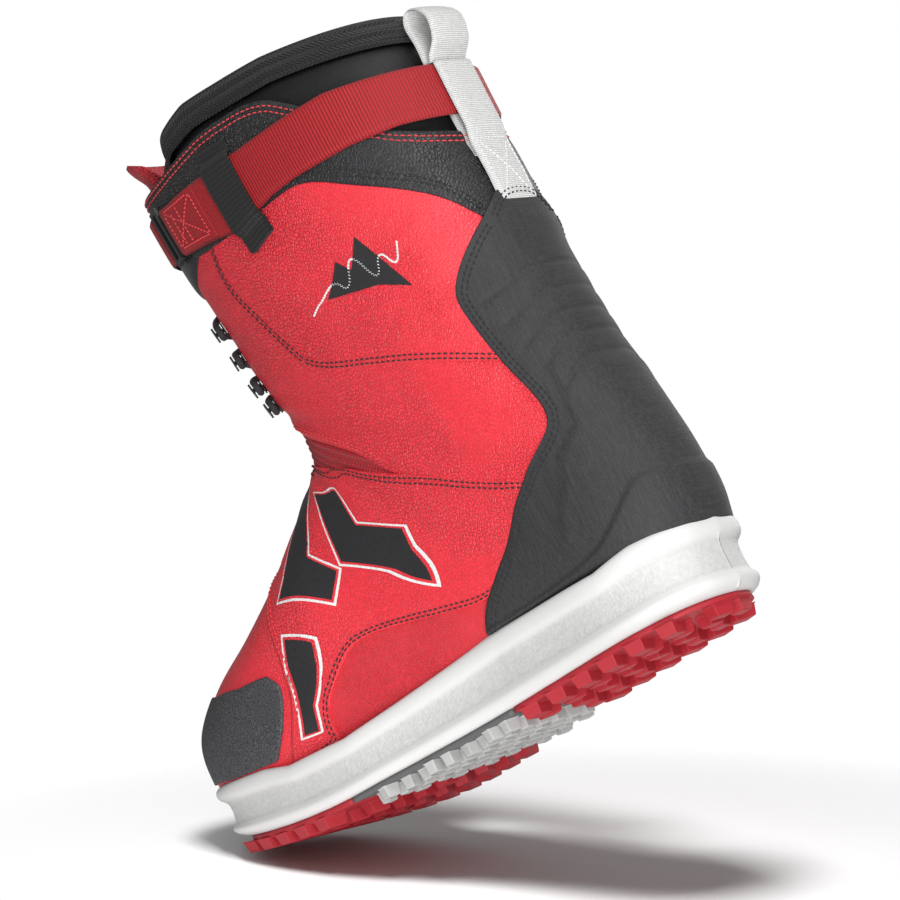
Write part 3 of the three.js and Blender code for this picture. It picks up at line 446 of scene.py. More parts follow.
def make(name, points, faces, mat, uv=None, sharp=False):
    mesh = bpy.data.meshes.new(name)
    mesh.from_pydata([tuple(p) for p in np.asarray(points).reshape(-1, 3)], [], faces)
    mesh.update()
    if uv is not None:
        uv = np.asarray(uv, float).reshape(-1, 2)
        layer = mesh.uv_layers.new(name="UVMap")
        loops = np.zeros(len(mesh.loops), int)
        mesh.loops.foreach_get("vertex_index", loops)
        layer.data.foreach_set("uv", uv[loops].ravel())
    if not sharp:
        mesh.shade_smooth()
    obj = bpy.data.objects.new(name, mesh)
    bpy.context.scene.collection.objects.link(obj)
    mesh.materials.append(M[mat])
    return obj


def quads(rows, cols, ring=False, flip=False, start=0):
    """Faces of a grid of rows by cols points. A ring closes its columns."""
    out = []
    for i in range(rows - 1):
        for j in range(cols if ring else cols - 1):
            k = (j + 1) % cols
            this, below = start + i * cols, start + (i + 1) * cols
            q = [this + j, this + k, below + k, below + j]
            out.append(q[::-1] if flip else q)
    return out


def slab_faces(rows, cols):
    """Faces of a closed slab between an outer and an inner grid of points."""
    last, count = rows - 1, rows * cols
    rim = [*range(cols)] + [i * cols + cols - 1 for i in range(1, rows)]
    rim += [last * cols + j for j in range(cols - 2, -1, -1)] + [i * cols for i in range(last - 1, 0, -1)]
    sides = [[a, b, b + count, a + count] for a, b in zip(rim, rim[1:] + rim[:1])]
    return quads(rows, cols, flip=True) + quads(rows, cols, start=count) + sides


def lengths(p):
    """UV in metres: x along the rows and y along the columns of a grid of points."""
    du = np.linalg.norm(np.diff(p, axis=0), axis=-1).mean(1)
    dv = np.linalg.norm(np.diff(p, axis=1), axis=-1).mean(0)
    a, b = np.concatenate([[0], np.cumsum(du)]), np.concatenate([[0], np.cumsum(dv)])
    return np.stack(np.meshgrid(a, b, indexing="ij"), -1)


def fade_ends(n, length, edge):
    """Places 0 to 1 along a side of that length in mm, close together at its rolled edges, and their drop."""
    r = min(edge / length, 0.2)
    lead = np.array([0, 0, 0.25, 0.6]) * r
    t = np.concatenate([lead, np.linspace(r, 1 - r, n), 1 - lead[::-1]])
    drop = np.array([2, 0.75, 0.28, 0.06])
    return t, np.concatenate([drop, np.zeros(n), drop[::-1]])


def crown(t, width):
    return smooth(0, width, t) * smooth(0, width, 1 - t)


def shell(name, at, n, mat, body, low, high, puff=0.0, edge=1.6, relief=None, wrinkle=0.25, replaces=()):
    """A panel of the surface between four seams, with rolled edges that go down to low mm."""
    probe = skin(*np.moveaxis(at(*grid(21, 21)), -1, 0))
    size_u = np.linalg.norm(np.diff(probe, axis=0), axis=-1).sum(0).mean() / MM
    size_v = np.linalg.norm(np.diff(probe, axis=1), axis=-1).sum(1).mean() / MM
    tu, du = fade_ends(n[0], size_u, edge)
    tv, dv = fade_ends(n[1], size_v, edge)
    u, v = np.meshgrid(tu, tv, indexing="ij")
    s, deg = np.moveaxis(at(u, v), -1, 0)
    drop = np.maximum(du[:, None], dv[None, :])
    swell = puff * crown(u, 0.3) * crown(v, 0.3)
    crease = wrinkle * np.sin(s * 4.1 + deg * 0.055) * np.sin(s * 1.7 - deg * 0.11 + 1.3)
    crease = crease * crown(u, 0.2) * crown(v, 0.2)
    out = high + swell + crease + (relief(s, deg) if relief else 0)
    out = np.where(drop >= 2, low, out - np.minimum(drop, 1) * min(high - low, 1.1))
    p = skin(s, deg, out)
    mid = (len(tu) // 2, len(tv) // 2)
    outward = skin(s[mid], deg[mid], 5) - skin(s[mid], deg[mid], 0)
    turn = np.cross(p[mid[0], mid[1] + 1] - p[mid], p[mid[0] + 1, mid[1]] - p[mid])
    faces = quads(*p.shape[:2], flip=np.dot(turn, outward) < 0)
    return hold(make(name, p, faces, mat, lengths(p)), body, replaces)


def tree_of(*objs):
    verts, faces = [], []
    for o in objs:
        base = len(verts)
        verts += [v.co.copy() for v in o.data.vertices]
        faces += [[base + k for k in f.vertices] for f in o.data.polygons]
    return BVHTree.FromPolygons(verts, faces)


OUTSIDE = 5.0            # mm over the surface from which stitches and prints are laid down on the panels
STEP = 0.8 * MM          # between the points of a line that stitches follow


def on_surface(tree, p):
    at, normal, _, _ = tree.find_nearest(Vector(p))
    return np.array(at), np.array(normal)


def line_on(seam, out):
    """Points every STEP along a seam, out mm over the surface."""
    f = walk(seam)
    p = skin(*np.moveaxis(f(np.linspace(0, 1, 1200)), -1, 0), out)
    far = distance(p)
    return resampled(p, far, np.arange(0, far[-1], STEP))


def beads(runs, pitch, length, radius):
    """Points and faces of thread stitches: each run is (points, normals), STEP apart."""
    points, faces = [], []
    ring = np.linspace(0, 2 * math.pi, 5, endpoint=False)
    for p, n in runs:
        far = distance(p)
        for start in np.arange(pitch / 2, far[-1] - length, pitch):
            a, b = resampled(p, far, [start, start + length])
            up = n[min(int((start + length / 2) / STEP), len(n) - 1)]
            run = (b - a) / max(np.linalg.norm(b - a), 1e-9)
            side = np.cross(up, run)
            base = len(points)
            for t, r in ((0, 0.35), (0.15, 0.85), (0.5, 1.0), (0.85, 0.85), (1, 0.35)):
                centre = a + (b - a) * t + up * radius * (0.9 * math.sin(math.pi * t) - 0.25)
                points += [centre + radius * r * (math.cos(w) * side + math.sin(w) * up) for w in ring]
            faces += quads(5, 5, ring=True, start=base)
            faces += [[base + k for k in range(5)][::-1], [base + 20 + k for k in range(5)]]
    return points, faces


def stitch(name, seams, panels, mat, body, insets=(2.2, 4.4), pitch=3.1, length=2.3, radius=0.42):
    """Rows of stitches beside seams. An inset is in mm to the left of the seam's run, seen from outside."""
    tree = tree_of(*panels)
    runs = []
    for seam in seams:
        line, above = line_on(seam, 0.0), line_on(seam, OUTSIDE)
        above = above[np.linspace(0, len(above) - 1, len(line)).astype(int)]
        outward = above - line
        outward /= np.linalg.norm(outward, axis=1)[:, None]
        tangent = np.gradient(line, axis=0)
        tangent /= np.linalg.norm(tangent, axis=1)[:, None] + 1e-12
        for inset in insets:
            moved = above + np.cross(outward, tangent) * inset * MM
            spots = [on_surface(tree, p) for p in moved]
            p = np.array([s[0] for s in spots])
            normals = np.array([s[1] for s in spots])
            normals *= np.sign((normals * outward).sum(1) + 1e-9)[:, None]
            runs.append((p, normals))
    obj = make(name, *beads(runs, pitch * MM, length * MM, radius * MM), mat)
    return hold(obj, body)


# ---- upper ------------------------------------------------------------------------------------------
toe_low = lambda s: np.interp(s, [-1, 0.5, 4.6, 6], [104, 106, 133, 134])
u, v = grid(70, 120)
s = -0.96 + u * (5.15 + 0.96)
deg = (2 * v - 1) * toe_low(s)
fold = 0.35 * np.sin(deg * 0.06 + s * 2.2) * smooth(1, 4, s)
p = skin(s, deg, 0.1 + fold)
toe_box = make("toe_box_leather", p, quads(70, 120, flip=True), "leather", lengths(p))
hold(toe_box, "foot", ("toe_box",))

for side, turn in SIDES.items():
    a, b, c, d = [4.6, 88], [4.6, 134], [8.6, 88], [8.6, 134]
    base = patch(turn([a, b]), turn([c, d]), turn([a, c]), turn([b, d]))
    shell(f"arch_leather_{side}", base, (40, 40), "leather_smooth", "foot", -2, -0.6, 0.5,
          replaces=(f"arch_panel_{side}", f"quarter_{side}"))

toe_line = rounded(both_sides(TOE_SEAM))
top_line = rounded(both_sides(LOWER_TOP), 1)
arch_line = rounded(ARCH_SEAM, 3)


def vamp_relief(s, deg):
    return 0.5 * np.sin(s * 5.5 + np.abs(deg) * 0.03) * smooth(7.6, 9.2, s) * smooth(110, 40, np.abs(deg))


vamp = shell("vamp_leather", patch(toe_line, top_line, mirrored(arch_line), arch_line), (110, 220), "leather",
             "foot", -1.6, 0.9, 0.5, 1.4, vamp_relief, replaces=("vamp",))

low = [[8.15, 0], [8.7, 25], [9.9, 57], [10.1, 84]]
high = [[11.2, 0], [11.3, 25], [11.5, 57], [11.5, 84]]
ends = [[10.1, -84], [11.5, -84]]
shell("gusset_mesh", patch(both_sides(low), both_sides(high), ends, mirrored(ends)), (30, 90), "gusset",
      "ankle", -2.6, -0.9, 0.6, 0.6, lambda s, deg: 0.7 * np.sin(s * 14), 0.3, ("gusset",))


def ankle_relief(s, deg):
    d = np.abs(deg)
    return 0.8 * np.sin(s * 4.4 + d * 0.035) * smooth(14.2, 12.4, s) * smooth(120, 60, d)


ankle = {}
cuff = {}
collar = {}
for side, turn in SIDES.items():
    front = [[10.9, 22], [12.3, 21], [14, 20.5], [16, 20.5], [17.3, 20.5]]
    low = [[10.9, 22], [11.1, 40], [11.15, 58], [11.0, 68], [10.55, 75], [10.75, 90], [11.1, 110]]
    rear = [[11.1, 110], [12, 126], [13, 134], [14.4, 132], [15, 110], [16, 84], [17.3, 72]]
    panel = patch(rounded(turn(low), 3), turn([[17.3, 20.5], [17.3, 72]]), turn(front), rounded(turn(rear)))
    ankle[side] = shell(f"ankle_leather_{side}", panel, (120, 90), "leather", "ankle", -2.2, 0.3, 0.3, 1.2,
                        ankle_relief, 0.35, (f"ankle_quarter_{side}", f"facing_{side}"))
    cuff_top = [[17.3, 66]] + COLLAR_LOW[3:10]
    panel = patch(*(rounded(turn(seam)) for seam in (CUFF_LOW, cuff_top, CUFF_FRONT, CUFF_REAR)))
    cuff[side] = shell(f"cuff_leather_{side}", panel, (80, 90), "leather", "cuff", -1.5, 1.2, 0.7, 1.3,
                       None, 0.3, (f"cuff_quarter_{side}",))
    panel = patch(rounded(turn(COLLAR_LOW)), rounded(turn(COLLAR_TOP)), turn([[17.1, 24], [18.9, 24]]),
                  turn([[16.1, 180], [17.65, 180]]))
    collar[side] = shell(f"collar_leather_{side}", panel, (36, 150), "black_leather", "cuff", -4, 1.9, 0.9,
                         1.8, None, 0.3, (f"collar_{side}",))


# ---- backstay: one moulded shell from the sole to the collar -----------------------------------------
ARCS = [183, 170, 158, 146, 134]


def back_relief(s, deg):
    """Raised ribs across the back of the ankle and the moulded steps over the heel."""
    d = np.abs(180 - deg)
    z = skin(s, deg)[..., 2] / MM
    out = np.zeros_like(z)
    for k, level in enumerate(ARCS):
        line = level - 12 * smooth(10, 46, d) * (0.7 + 0.1 * k)
        fade = smooth(47 - 2.5 * k, 40 - 3 * k, d)
        out += fade * (-0.8 * np.exp(-((z - line) / 1.3) ** 2) + 0.45 * np.exp(-((z - line + 5) / 5.0) ** 2))
    heel = 64 + 8 * smooth(46, 30, d) - 22 * smooth(38, 66, d)
    out += 1.6 * smooth(heel + 1.6, heel - 1.6, z) * smooth(86, 66, d)
    edge = np.interp(s, [9, 10.5, 11.8, 12.6, 13.4, 14.2], [62, 66, 56, 42, 37, 34])
    out += 1.3 * smooth(edge + 2.2, edge - 2.2, d) * smooth(9.6, 10.6, s) * smooth(14.15, 13.7, s)
    out += 1.9 * smooth(15.7, 16.25, s)
    tucked = smooth(45, 40, z)
    return out * (1 - tucked) - 3.2 * tucked


back_edge = rounded(BACK_EDGE, 3)
back_far = np.array([[s, 360 - d] for s, d in back_edge])
back_top = rounded(around(BACK_TOP))
back_panel = patch(rounded(around(BACK_LOW)), back_top, back_edge, back_far)
backstay = shell("backstay_shell", back_panel, (230, 190), "backstay", "ankle", -1.4, 1.9, 0.3, 1.8,
                 back_relief, 0.0, ("backstay", "backstay_flex", "heel_counter"))

# ---- toe cap ----------------------------------------------------------------------------------------
CAP_TOP = [[4.75, 90], [4.6, 84], [3.9, 76], [3.1, 60], [2.4, 30], [2.3, 12], [2.25, 0]]
CAP_LOW = [[3.95, 114], [3, 107], [1.9, 99], [0.8, 95], [-0.2, 92], [-0.86, 88], [-0.97, 0]]


def cap_at(u, v):
    top, low = np.array(both_sides(CAP_TOP[::-1])), np.array(both_sides(CAP_LOW[::-1]))
    at = v * (len(top) - 1)
    k = np.arange(len(top))
    a, b = (np.stack([np.interp(at, k, q[:, 0]), np.interp(at, k, q[:, 1])], -1) for q in (top, low))
    return a + (b - a) * u[..., None]


shell("toe_rubber", cap_at, (60, 180), "toe", "foot", -0.5, 1.7, 0.2, 1.5, None, 0.0, ("toe_cap",))

# ---- sole -------------------------------------------------------------------------------------------
INNER = np.array([[-4, 0], [0, 20], [14, 35], [42, 42.5], [85, 41.5], [125, 41], [165, 46.5], [200, 54],
                   [228, 56], [258, 54.5], [283, 48.5], [300, 36], [308, 21], [309, 6]], float)
OUTER = np.array([[-4, 0], [0, -20], [14, -35], [42, -42.5], [85, -43], [125, -46.5], [160, -52],
                   [195, -55], [225, -54], [252, -49.5], [277, -41], [296, -30], [306, -12],
                   [309, 6]], float)
FOAM_BOTTOM = 8.5


def rise(x):
    return 18 * np.clip((np.asarray(x, float) - 205) / 104, 0, 1) ** 1.8


def foam_top(x):
    places = [-4, 20, 40, 107, 200, 236, 252, 266, 309]
    return np.interp(x, places, [44, 44, 40.5, 42, 34, 36.5, 41.5, 44, 51])


def sole_xy(along, across, inset=0.0):
    a, b = catmull(INNER, np.asarray(along) * 13), catmull(OUTER, np.asarray(along) * 13)
    width = np.maximum(a[..., 1] - b[..., 1], 0.01)
    t = 0.5 + (across - 0.5) * np.maximum(0, 1 - 2 * inset / width)
    x = a[..., 0] + (b[..., 0] - a[..., 0]) * t
    return 150 + (x - 150) * (1 - inset / 150), a[..., 1] + (b[..., 1] - a[..., 1]) * t


def even_outline(n):
    """The sole's outline, n points evenly spaced, as (along, across)."""
    along = np.concatenate([np.linspace(0, 1, 600, endpoint=False), np.linspace(1, 0, 600, endpoint=False)])
    across = np.concatenate([np.zeros(600), np.ones(600)])
    x, y = sole_xy(along, across)
    far = np.concatenate([[0], np.cumsum(np.hypot(np.diff(x, append=x[0]), np.diff(y, append=y[0])))])
    at = np.linspace(0, far[-1], n, endpoint=False)
    return np.interp(at, far[:-1], along), np.where(at < far[600], 0.0, 1.0)


PROFILE = [(0.0, -9), (0.0, -4.4), (0.02, -3.0), (0.06, -1.2), (0.10, -0.4), (0.14, 0.1), (0.18, 0.1),
           (0.22, -0.7), (0.26, -1.5), (0.34, -1.9), (0.50, -2.2), (0.62, -2.0), (0.68, -1.5), (0.72, -0.7),
           (0.75, 0.1), (0.80, 0.7), (0.88, 0.8), (0.94, 0.4), (0.98, -0.4), (1.0, -1.5), (1.0, -7)]
along, across = even_outline(560)
rings = []
for fraction, grow in PROFILE:
    x, y = sole_xy(along, across, -grow)
    heel_lip = smooth(60, 20, x) * 0.7 * (fraction > 0.7)
    z = FOAM_BOTTOM + rise(x) + (foam_top(x) - FOAM_BOTTOM - rise(x)) * fraction
    rings.append(np.stack([x, y, z], -1) + heel_lip[:, None] * np.array([-1, 0, 0]))
p = (np.array(rings) + TO_ROW) * MM
uv = np.stack(np.meshgrid([f for f, _ in PROFILE], np.arange(560) * 0.0016, indexing="ij")[::-1], -1)
faces = quads(len(PROFILE), 560, ring=True)
half = 560
faces += [[j, (half - j) % 560, (half - j - 1) % 560, j + 1] for j in range(half // 2)]
hold(make("midsole_foam", p, faces, "foam", uv), "foot", ("midsole",))


def sole_point(u, v, spans, inset, z):
    (a0, a1), (b0, b1) = spans
    a = a0 + (a1 - a0) * v
    b = b0 + (b1 - b0) * v
    x, y = sole_xy(a + (b - a) * u, v, inset)
    return (np.stack([x, y, z + rise(x)], -1) + TO_ROW) * MM


def block(points, faces, plan, low, high, taper=0.86):
    """One lug: a plan of corners on the plate, narrowed at the ground, with a small step at its foot."""
    plan = np.array(plan, float)
    centre = plan.mean(0)
    base = len(points)
    n = len(plan)
    for z, k in ((high, 1.12), (high - 0.7, 1.0), (low + 0.5, taper), (low, taper - 0.07)):
        q = centre + (plan - centre) * k
        ground = rise(q[:, 0])
        points += list((np.column_stack([q, np.full(n, z) + ground]) + TO_ROW) * MM)
    faces += quads(4, n, ring=True, start=base)
    faces.append([base + 3 * n + k for k in range(n)])


PLATE_UNDER = 5.2        # mm over the ground, the plate's lower face that the lugs stand on


def plate(name, spans, mat, node, lug_plans, lug_mat):
    u, v = grid(40, 30)
    top = sole_point(u, v, spans, 5.0, FOAM_BOTTOM - 0.2)
    under = sole_point(u, v, spans, 4.6, PLATE_UNDER + 0.4)
    hold(make(name, np.array([top, under]), slab_faces(40, 30), mat), "foot", (node,))
    points, faces = [], []
    for plan in lug_plans:
        block(points, faces, plan, 0.0, PLATE_UNDER + 0.5)
    lugs = make(name.replace("plate", "lugs"), points, faces, lug_mat, sharp=True)
    bevel = lugs.modifiers.new("edge", "BEVEL")
    bevel.width = 0.00045
    bevel.segments = 2
    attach(lugs, "foot")


def bar(x, y, length, width, turn, skew=0.0):
    """Corners of a lug whose middle is at x, y mm, its length along the sole before the turn."""
    short = length * (1 - skew)
    c = np.array([[-length, -width], [short, -width], [length, width], [-short, width]]) / 2
    a = math.radians(turn)
    return c @ np.array([[math.cos(a), math.sin(a)], [-math.sin(a), math.cos(a)]]) + np.array([x, y])


def edge_y(x, inset, side):
    rows = INNER if side > 0 else OUTER
    t = np.linspace(0, 1, 400)
    q = catmull(rows, t * 13)
    return np.interp(x, q[:, 0], q[:, 1]) - side * inset


heel_lugs, insert_lugs, fore_lugs = [], [], []
for x in (23, 40, 57, 74, 91, 108):
    for side in (1, -1):
        bow = 16 * side
        heel_lugs.append(bar(x, edge_y(x, 12, side), 10.5, 13, bow, 0.25))
        heel_lugs.append(bar(x + 4, edge_y(x + 4, 25, side), 9.5, 10, -bow * 1.2, 0.3))
    heel_lugs.append(bar(x - 3, edge_y(x, 0, 1) * 0.5 + edge_y(x, 0, -1) * 0.5, 9, 10, 0, 0.3))
heel_lugs.append(bar(8.5, -8, 8, 12, 10))
heel_lugs.append(bar(8.5, 8, 8, 12, -10))
boundary = lambda y: np.interp(y, [-52, 50], [160, 218])
for i, x in enumerate(np.arange(125, 222, 8.6)):
    ys = np.arange(edge_y(x, 7.5, -1), edge_y(x, 4, 1), 11.6) + (3 if i % 2 else -1)
    for j, y in enumerate(ys):
        if x + 4.5 < boundary(y) and edge_y(x, 7, -1) < y < edge_y(x, 7, 1):
            insert_lugs.append(bar(x, y, 6.2, 8.0, 12 if j % 2 else -12, 0.3))
for i, x in enumerate(np.arange(166, 300, 13.5)):
    for side in (1, -1):
        if x - 6 > boundary(edge_y(x, 8, side)):
            fore_lugs.append(bar(x, edge_y(x, 11, side), 10.5, 12.5, -14 * side, 0.3))
    for k, f in enumerate((0.27, 0.5, 0.73)):
        y = edge_y(x, 0, -1) * (1 - f) + edge_y(x, 0, 1) * f
        if x - 6 + 4 * (k % 2) > boundary(y) and x < 292 - 10 * abs(f - 0.5):
            fore_lugs.append(bar(x + 4 * (k % 2), y, 9, 10.5, 20 * (1 - k) + 6, 0.35))
for y, turn in ((-6, 16), (7, 0), (19, -18)):
    fore_lugs.append(bar(298 - abs(y - 6) * 0.4, y, 8, 11, turn))
for name, node, spans, lug_plans, mat, lug_mat in (
        ("heel", "outsole_heel", ((0.02, 0.02), (0.362, 0.362)), heel_lugs, "sole_red", "sole_red"),
        ("insert", "outsole_insert", ((0.366, 0.366), (0.575, 0.455)), insert_lugs, "painted_gap_shade", "sole_grey"),
        ("fore", "outsole_forefoot", ((0.579, 0.459), (0.965, 0.965)), fore_lugs, "sole_red", "sole_red")):
    plate(f"outsole_{name}_plate", spans, mat, node, lug_plans, lug_mat)

# ---- stitching --------------------------------------------------------------------------------------
stitch("toe_seam_stitches", [toe_line], [vamp, toe_box], "thread_red", "foot", (1.8, 4.0))
stitch("vamp_top_stitches", [top_line[::-1]], [vamp], "thread_black", "foot", (2.0, 4.2))
for side, turn in SIDES.items():
    k = 1 if side == "medial" else -1
    ankle_low = rounded(turn([[10.9, 24], [11.1, 40], [11.15, 58], [11.0, 68], [10.6, 75]]), 3)
    for name, seam, panel, thread, body, insets in (
            ("arch", turn(arch_line.tolist())[6:-22], vamp, "black", "foot", (2.0, 4.2)),
            ("cuff_low", rounded(turn(CUFF_LOW)), cuff[side], "black", "cuff", (1.8, 4.0)),
            ("cuff_front", rounded(turn(CUFF_FRONT)), cuff[side], "black", "cuff", (-1.8, -4.0)),
            ("collar_low", rounded(turn(COLLAR_LOW[:10])), collar[side], "black", "cuff", (2.4, 5.0)),
            ("collar_top", rounded(turn(COLLAR_TOP)), collar[side], "red", "cuff", (-2.4, -5.2)),
            ("ankle_low", ankle_low, ankle[side], "red", "ankle", (1.8, 4.0))):
        stitch(f"{name}_stitches_{side}", [seam], [panel], f"thread_{thread}", body,
               [k * inset for inset in insets])
stitch("backstay_stitches", [back_edge, back_far[::-1]], [backstay], "thread_black", "ankle", (-2.4, -4.8))
stitch("backstay_top_stitches", [back_top], [backstay], "thread_black", "cuff", (-2.6, -5.0))

# ---- printed graphic and embroidery -----------------------------------------------------------------
front_tree = tree_of(vamp, toe_box)


def outline_fill(corners, pitch):
    """A polygon filled with even triangles: (2-D points, faces)."""
    corners = np.array(corners, float)
    edge = []
    for a, b in zip(corners, np.roll(corners, -1, 0)):
        n = max(2, int(np.linalg.norm(b - a) / pitch))
        edge += [a + (b - a) * k / n for k in range(n)]
    edge = np.array(edge)
    low, high = corners.min(0), corners.max(0)
    spots = np.meshgrid(*(np.arange(low[k], high[k], pitch) for k in (0, 1)))
    spots = np.stack(spots, -1).reshape(-1, 2)
    nxt = np.roll(corners, -1, 0)
    inside = np.zeros(len(spots), bool)
    for (ax, ay), (bx, by) in zip(corners, nxt):
        crosses = (ay > spots[:, 1]) != (by > spots[:, 1])
        with np.errstate(divide="ignore", invalid="ignore"):
            inside ^= crosses & (spots[:, 0] < (bx - ax) * (spots[:, 1] - ay) / (by - ay) + ax)
    points = [Vector(q) for q in np.concatenate([edge, spots[inside]])]
    ring = list(range(len(edge)))
    verts, _, faces, *_ = delaunay_2d_cdt(points, [], [ring], 1, 1e-5)
    return np.array([tuple(q) for q in verts]), [list(f) for f in faces]


def grown(corners, by):
    """A polygon moved outward by that much, with mitred corners."""
    c = np.array(corners, float)
    area = 0.5 * np.sum(c[:, 0] * np.roll(c[:, 1], -1) - np.roll(c[:, 0], -1) * c[:, 1])
    sign = 1 if area > 0 else -1
    before, after = c - np.roll(c, 1, 0), np.roll(c, -1, 0) - c
    n1, n2 = (np.column_stack([d[:, 1], -d[:, 0]]) / np.linalg.norm(d, axis=1)[:, None] * sign
              for d in (before, after))
    bis = n1 + n2
    bis /= np.linalg.norm(bis, axis=1)[:, None]
    return c + bis * (by / np.clip((bis * n1).sum(1), 0.45, 1))[:, None]


def decal(name, corners, tree, lift, mat, body="foot", side=1, pitch=2.0):
    """A printed shape. Corners are [station, angle]; the shape lies lift mm over the panels."""
    scale = np.array([20, 0.9])
    flat, faces = outline_fill(np.array(corners) * scale, pitch)
    p = skin(flat[:, 0] / scale[0], side * flat[:, 1] / scale[1], OUTSIDE)
    out = []
    for q in p:
        at, normal = on_surface(tree, q)
        normal = normal * (1 if np.dot(normal, q - at) >= 0 else -1)
        out.append(at + normal * lift * MM)
    hold(make(name, out, faces, mat), body)


PRINTS = {
    "upper": [[8.15, 45], [8.95, 56], [8.4, 72], [9.05, 84], [8.3, 94], [7.35, 77]],
    "lower": [[7.1, 20], [7.85, 32], [6.7, 63], [7.1, 78], [6.6, 84], [5.5, 62]],
    "spur": [[5.75, 89], [5.15, 100], [4.97, 111], [4.72, 109], [4.95, 97], [5.3, 80]],
}
scaled = lambda shape, by: (grown(np.array(shape) * [20, 0.9], by) / [20, 0.9]).tolist()
for side, k in (("medial", 1), ("lateral", -1)):
    for name, shape in PRINTS.items():
        decal(f"print_rim_{name}_{side}", scaled(shape, 1.9), front_tree, 0.10, "print_white", side=k)
        decal(f"print_gap_{name}_{side}", scaled(shape, 1.0), front_tree, 0.16, "leather", side=k)
        decal(f"print_{name}_{side}", scaled(shape, 0.1), front_tree, 0.22, "print", side=k)

EMBLEM = [(15.55, 92), (16.15, 100), (15.95, 103), (16.45, 110), (15.5, 118), (15.62, 108)]
SCRIBBLE = [(15.25, 86), (15.9, 96), (15.55, 99), (16.3, 105), (15.6, 109), (16.2, 114), (15.8, 117),
            (16.25, 122)]
for side, turn in SIDES.items():
    tree = tree_of(cuff[side])
    k = 1 if side == "medial" else -1
    decal(f"emblem_{side}", EMBLEM, tree, 0.35, "thread_black", "cuff", k, 1.4)
    stitch(f"emblem_thread_{side}", [rounded(turn(SCRIBBLE))], [cuff[side]], "thread_white", "cuff", (0, 0.5),
           1.5, 1.6, 0.3)


# ---- tongue and liner -------------------------------------------------------------------------------
def from_front(deg):
    return np.abs((np.asarray(deg, float) + 180) % 360 - 180)


def along_seam(seam, deg):
    q = np.array(seam, float)
    return np.interp(from_front(deg), q[:, 1], q[:, 0])


LINER_LOW = [[8.2, 0], [9, 30], [10.2, 62], [10.9, 90], [11.3, 120], [11.8, 150], [11.9, 180]]
LINER_RIM = [[19.2, 0], [19.7, 40], [20.7, 80], [20.9, 110], [20.8, 180]]
SINK, WALL, TONGUE = 4.2, 7.0, 7.0


def liner_out(deg, depth):
    return -SINK - (TONGUE + 1.4) * smooth(68, 46, from_front(deg)) - depth


def wall(name, low, high, mat, body, n, bulge, replaces):
    """A closed padded wall: up its outside, over a rounded top, and down its inside."""
    degs = np.linspace(0, 360, n[1], endpoint=False)
    rows = []
    for face, order in ((0, 1), (1, -1)):
        for t in np.linspace(0, 1, n[0])[::order]:
            roll = math.sqrt(max(0.0, 1 - ((t - 0.85) / 0.15) ** 2)) if t > 0.85 else 1.0
            seam = (1 - t) * along_seam(low, degs) + t * along_seam(high, degs)
            swell = bulge * math.sin(math.pi * min(1, t * 1.1)) * (1 if face == 0 else -1)
            depth = WALL / 2 + (WALL / 2) * roll * (1 if face else -1)
            rows.append(skin(seam, degs, liner_out(degs, depth) + swell))
    p = np.array(rows)
    obj = make(name, p, quads(len(rows), n[1], ring=True), mat, lengths(p))
    hold(obj, body, replaces)


lift = lambda seam, by: [[s + by, d] for s, d in seam]
liner_top = lift(LINER_RIM, -0.72)
wall("liner_shaft_cloth", LINER_LOW, liner_top, "panel", "ankle", (110, 180), 0.3,
     ("liner_ankle", "liner_shaft"))

degs = np.linspace(0, 360, 120, endpoint=False)
rows = []
for depth, order in ((0, 1), (WALL, -1)):
    for t in np.linspace(0, 1, 40)[::order]:
        toe_end = 1 + 0.9 * (depth > 0)
        rows.append(skin(toe_end * (1 - t) + t * along_seam(LINER_LOW, degs), degs, liner_out(degs, depth)))
p = np.array(rows)
sock = make("liner_foot_cloth", p, quads(80, 120, ring=True) + [list(range(120))[::-1]], "liner", lengths(p))
hold(sock, "foot", ("liner_foot",))


def swollen(obj, cap, frames=14, pressure=3.0):
    """Lets a closed cloth piece swell a little under pressure, each point by no more than cap metres."""
    rest = np.array([v.co for v in obj.data.vertices])
    cloth_mod = obj.modifiers.new("swell", "CLOTH")
    c = cloth_mod.settings
    c.quality = 5
    c.mass = 0.3
    c.tension_stiffness = c.compression_stiffness = 30
    c.bending_stiffness = 2
    c.use_pressure = True
    c.uniform_pressure_force = pressure
    c.effector_weights.gravity = 0
    cloth_mod.collision_settings.use_collision = False
    cloth_mod.collision_settings.use_self_collision = False
    cloth_mod.point_cache.frame_end = frames
    for f in range(1, frames + 1):
        bpy.context.scene.frame_set(f)
    done = obj.evaluated_get(bpy.context.evaluated_depsgraph_get()).to_mesh()
    moved = np.array([v.co for v in done.vertices]) - rest
    obj.to_mesh_clear()
    obj.modifiers.remove(cloth_mod)
    bpy.context.scene.frame_set(1)
    far = np.linalg.norm(moved, axis=1)
    moved *= np.minimum(1, cap / np.maximum(far, 1e-9))[:, None]
    obj.data.vertices.foreach_set("co", (rest + moved).ravel())
    obj.data.update()


def pillow(u, v, square):
    """Thickness 0 to 1 of a cushion: full in the middle, nothing at its edges. A higher square is flatter."""
    return np.sqrt(np.clip(1 - np.maximum(np.abs(v), np.abs(2 * u - 1)) ** square, 0, 1))


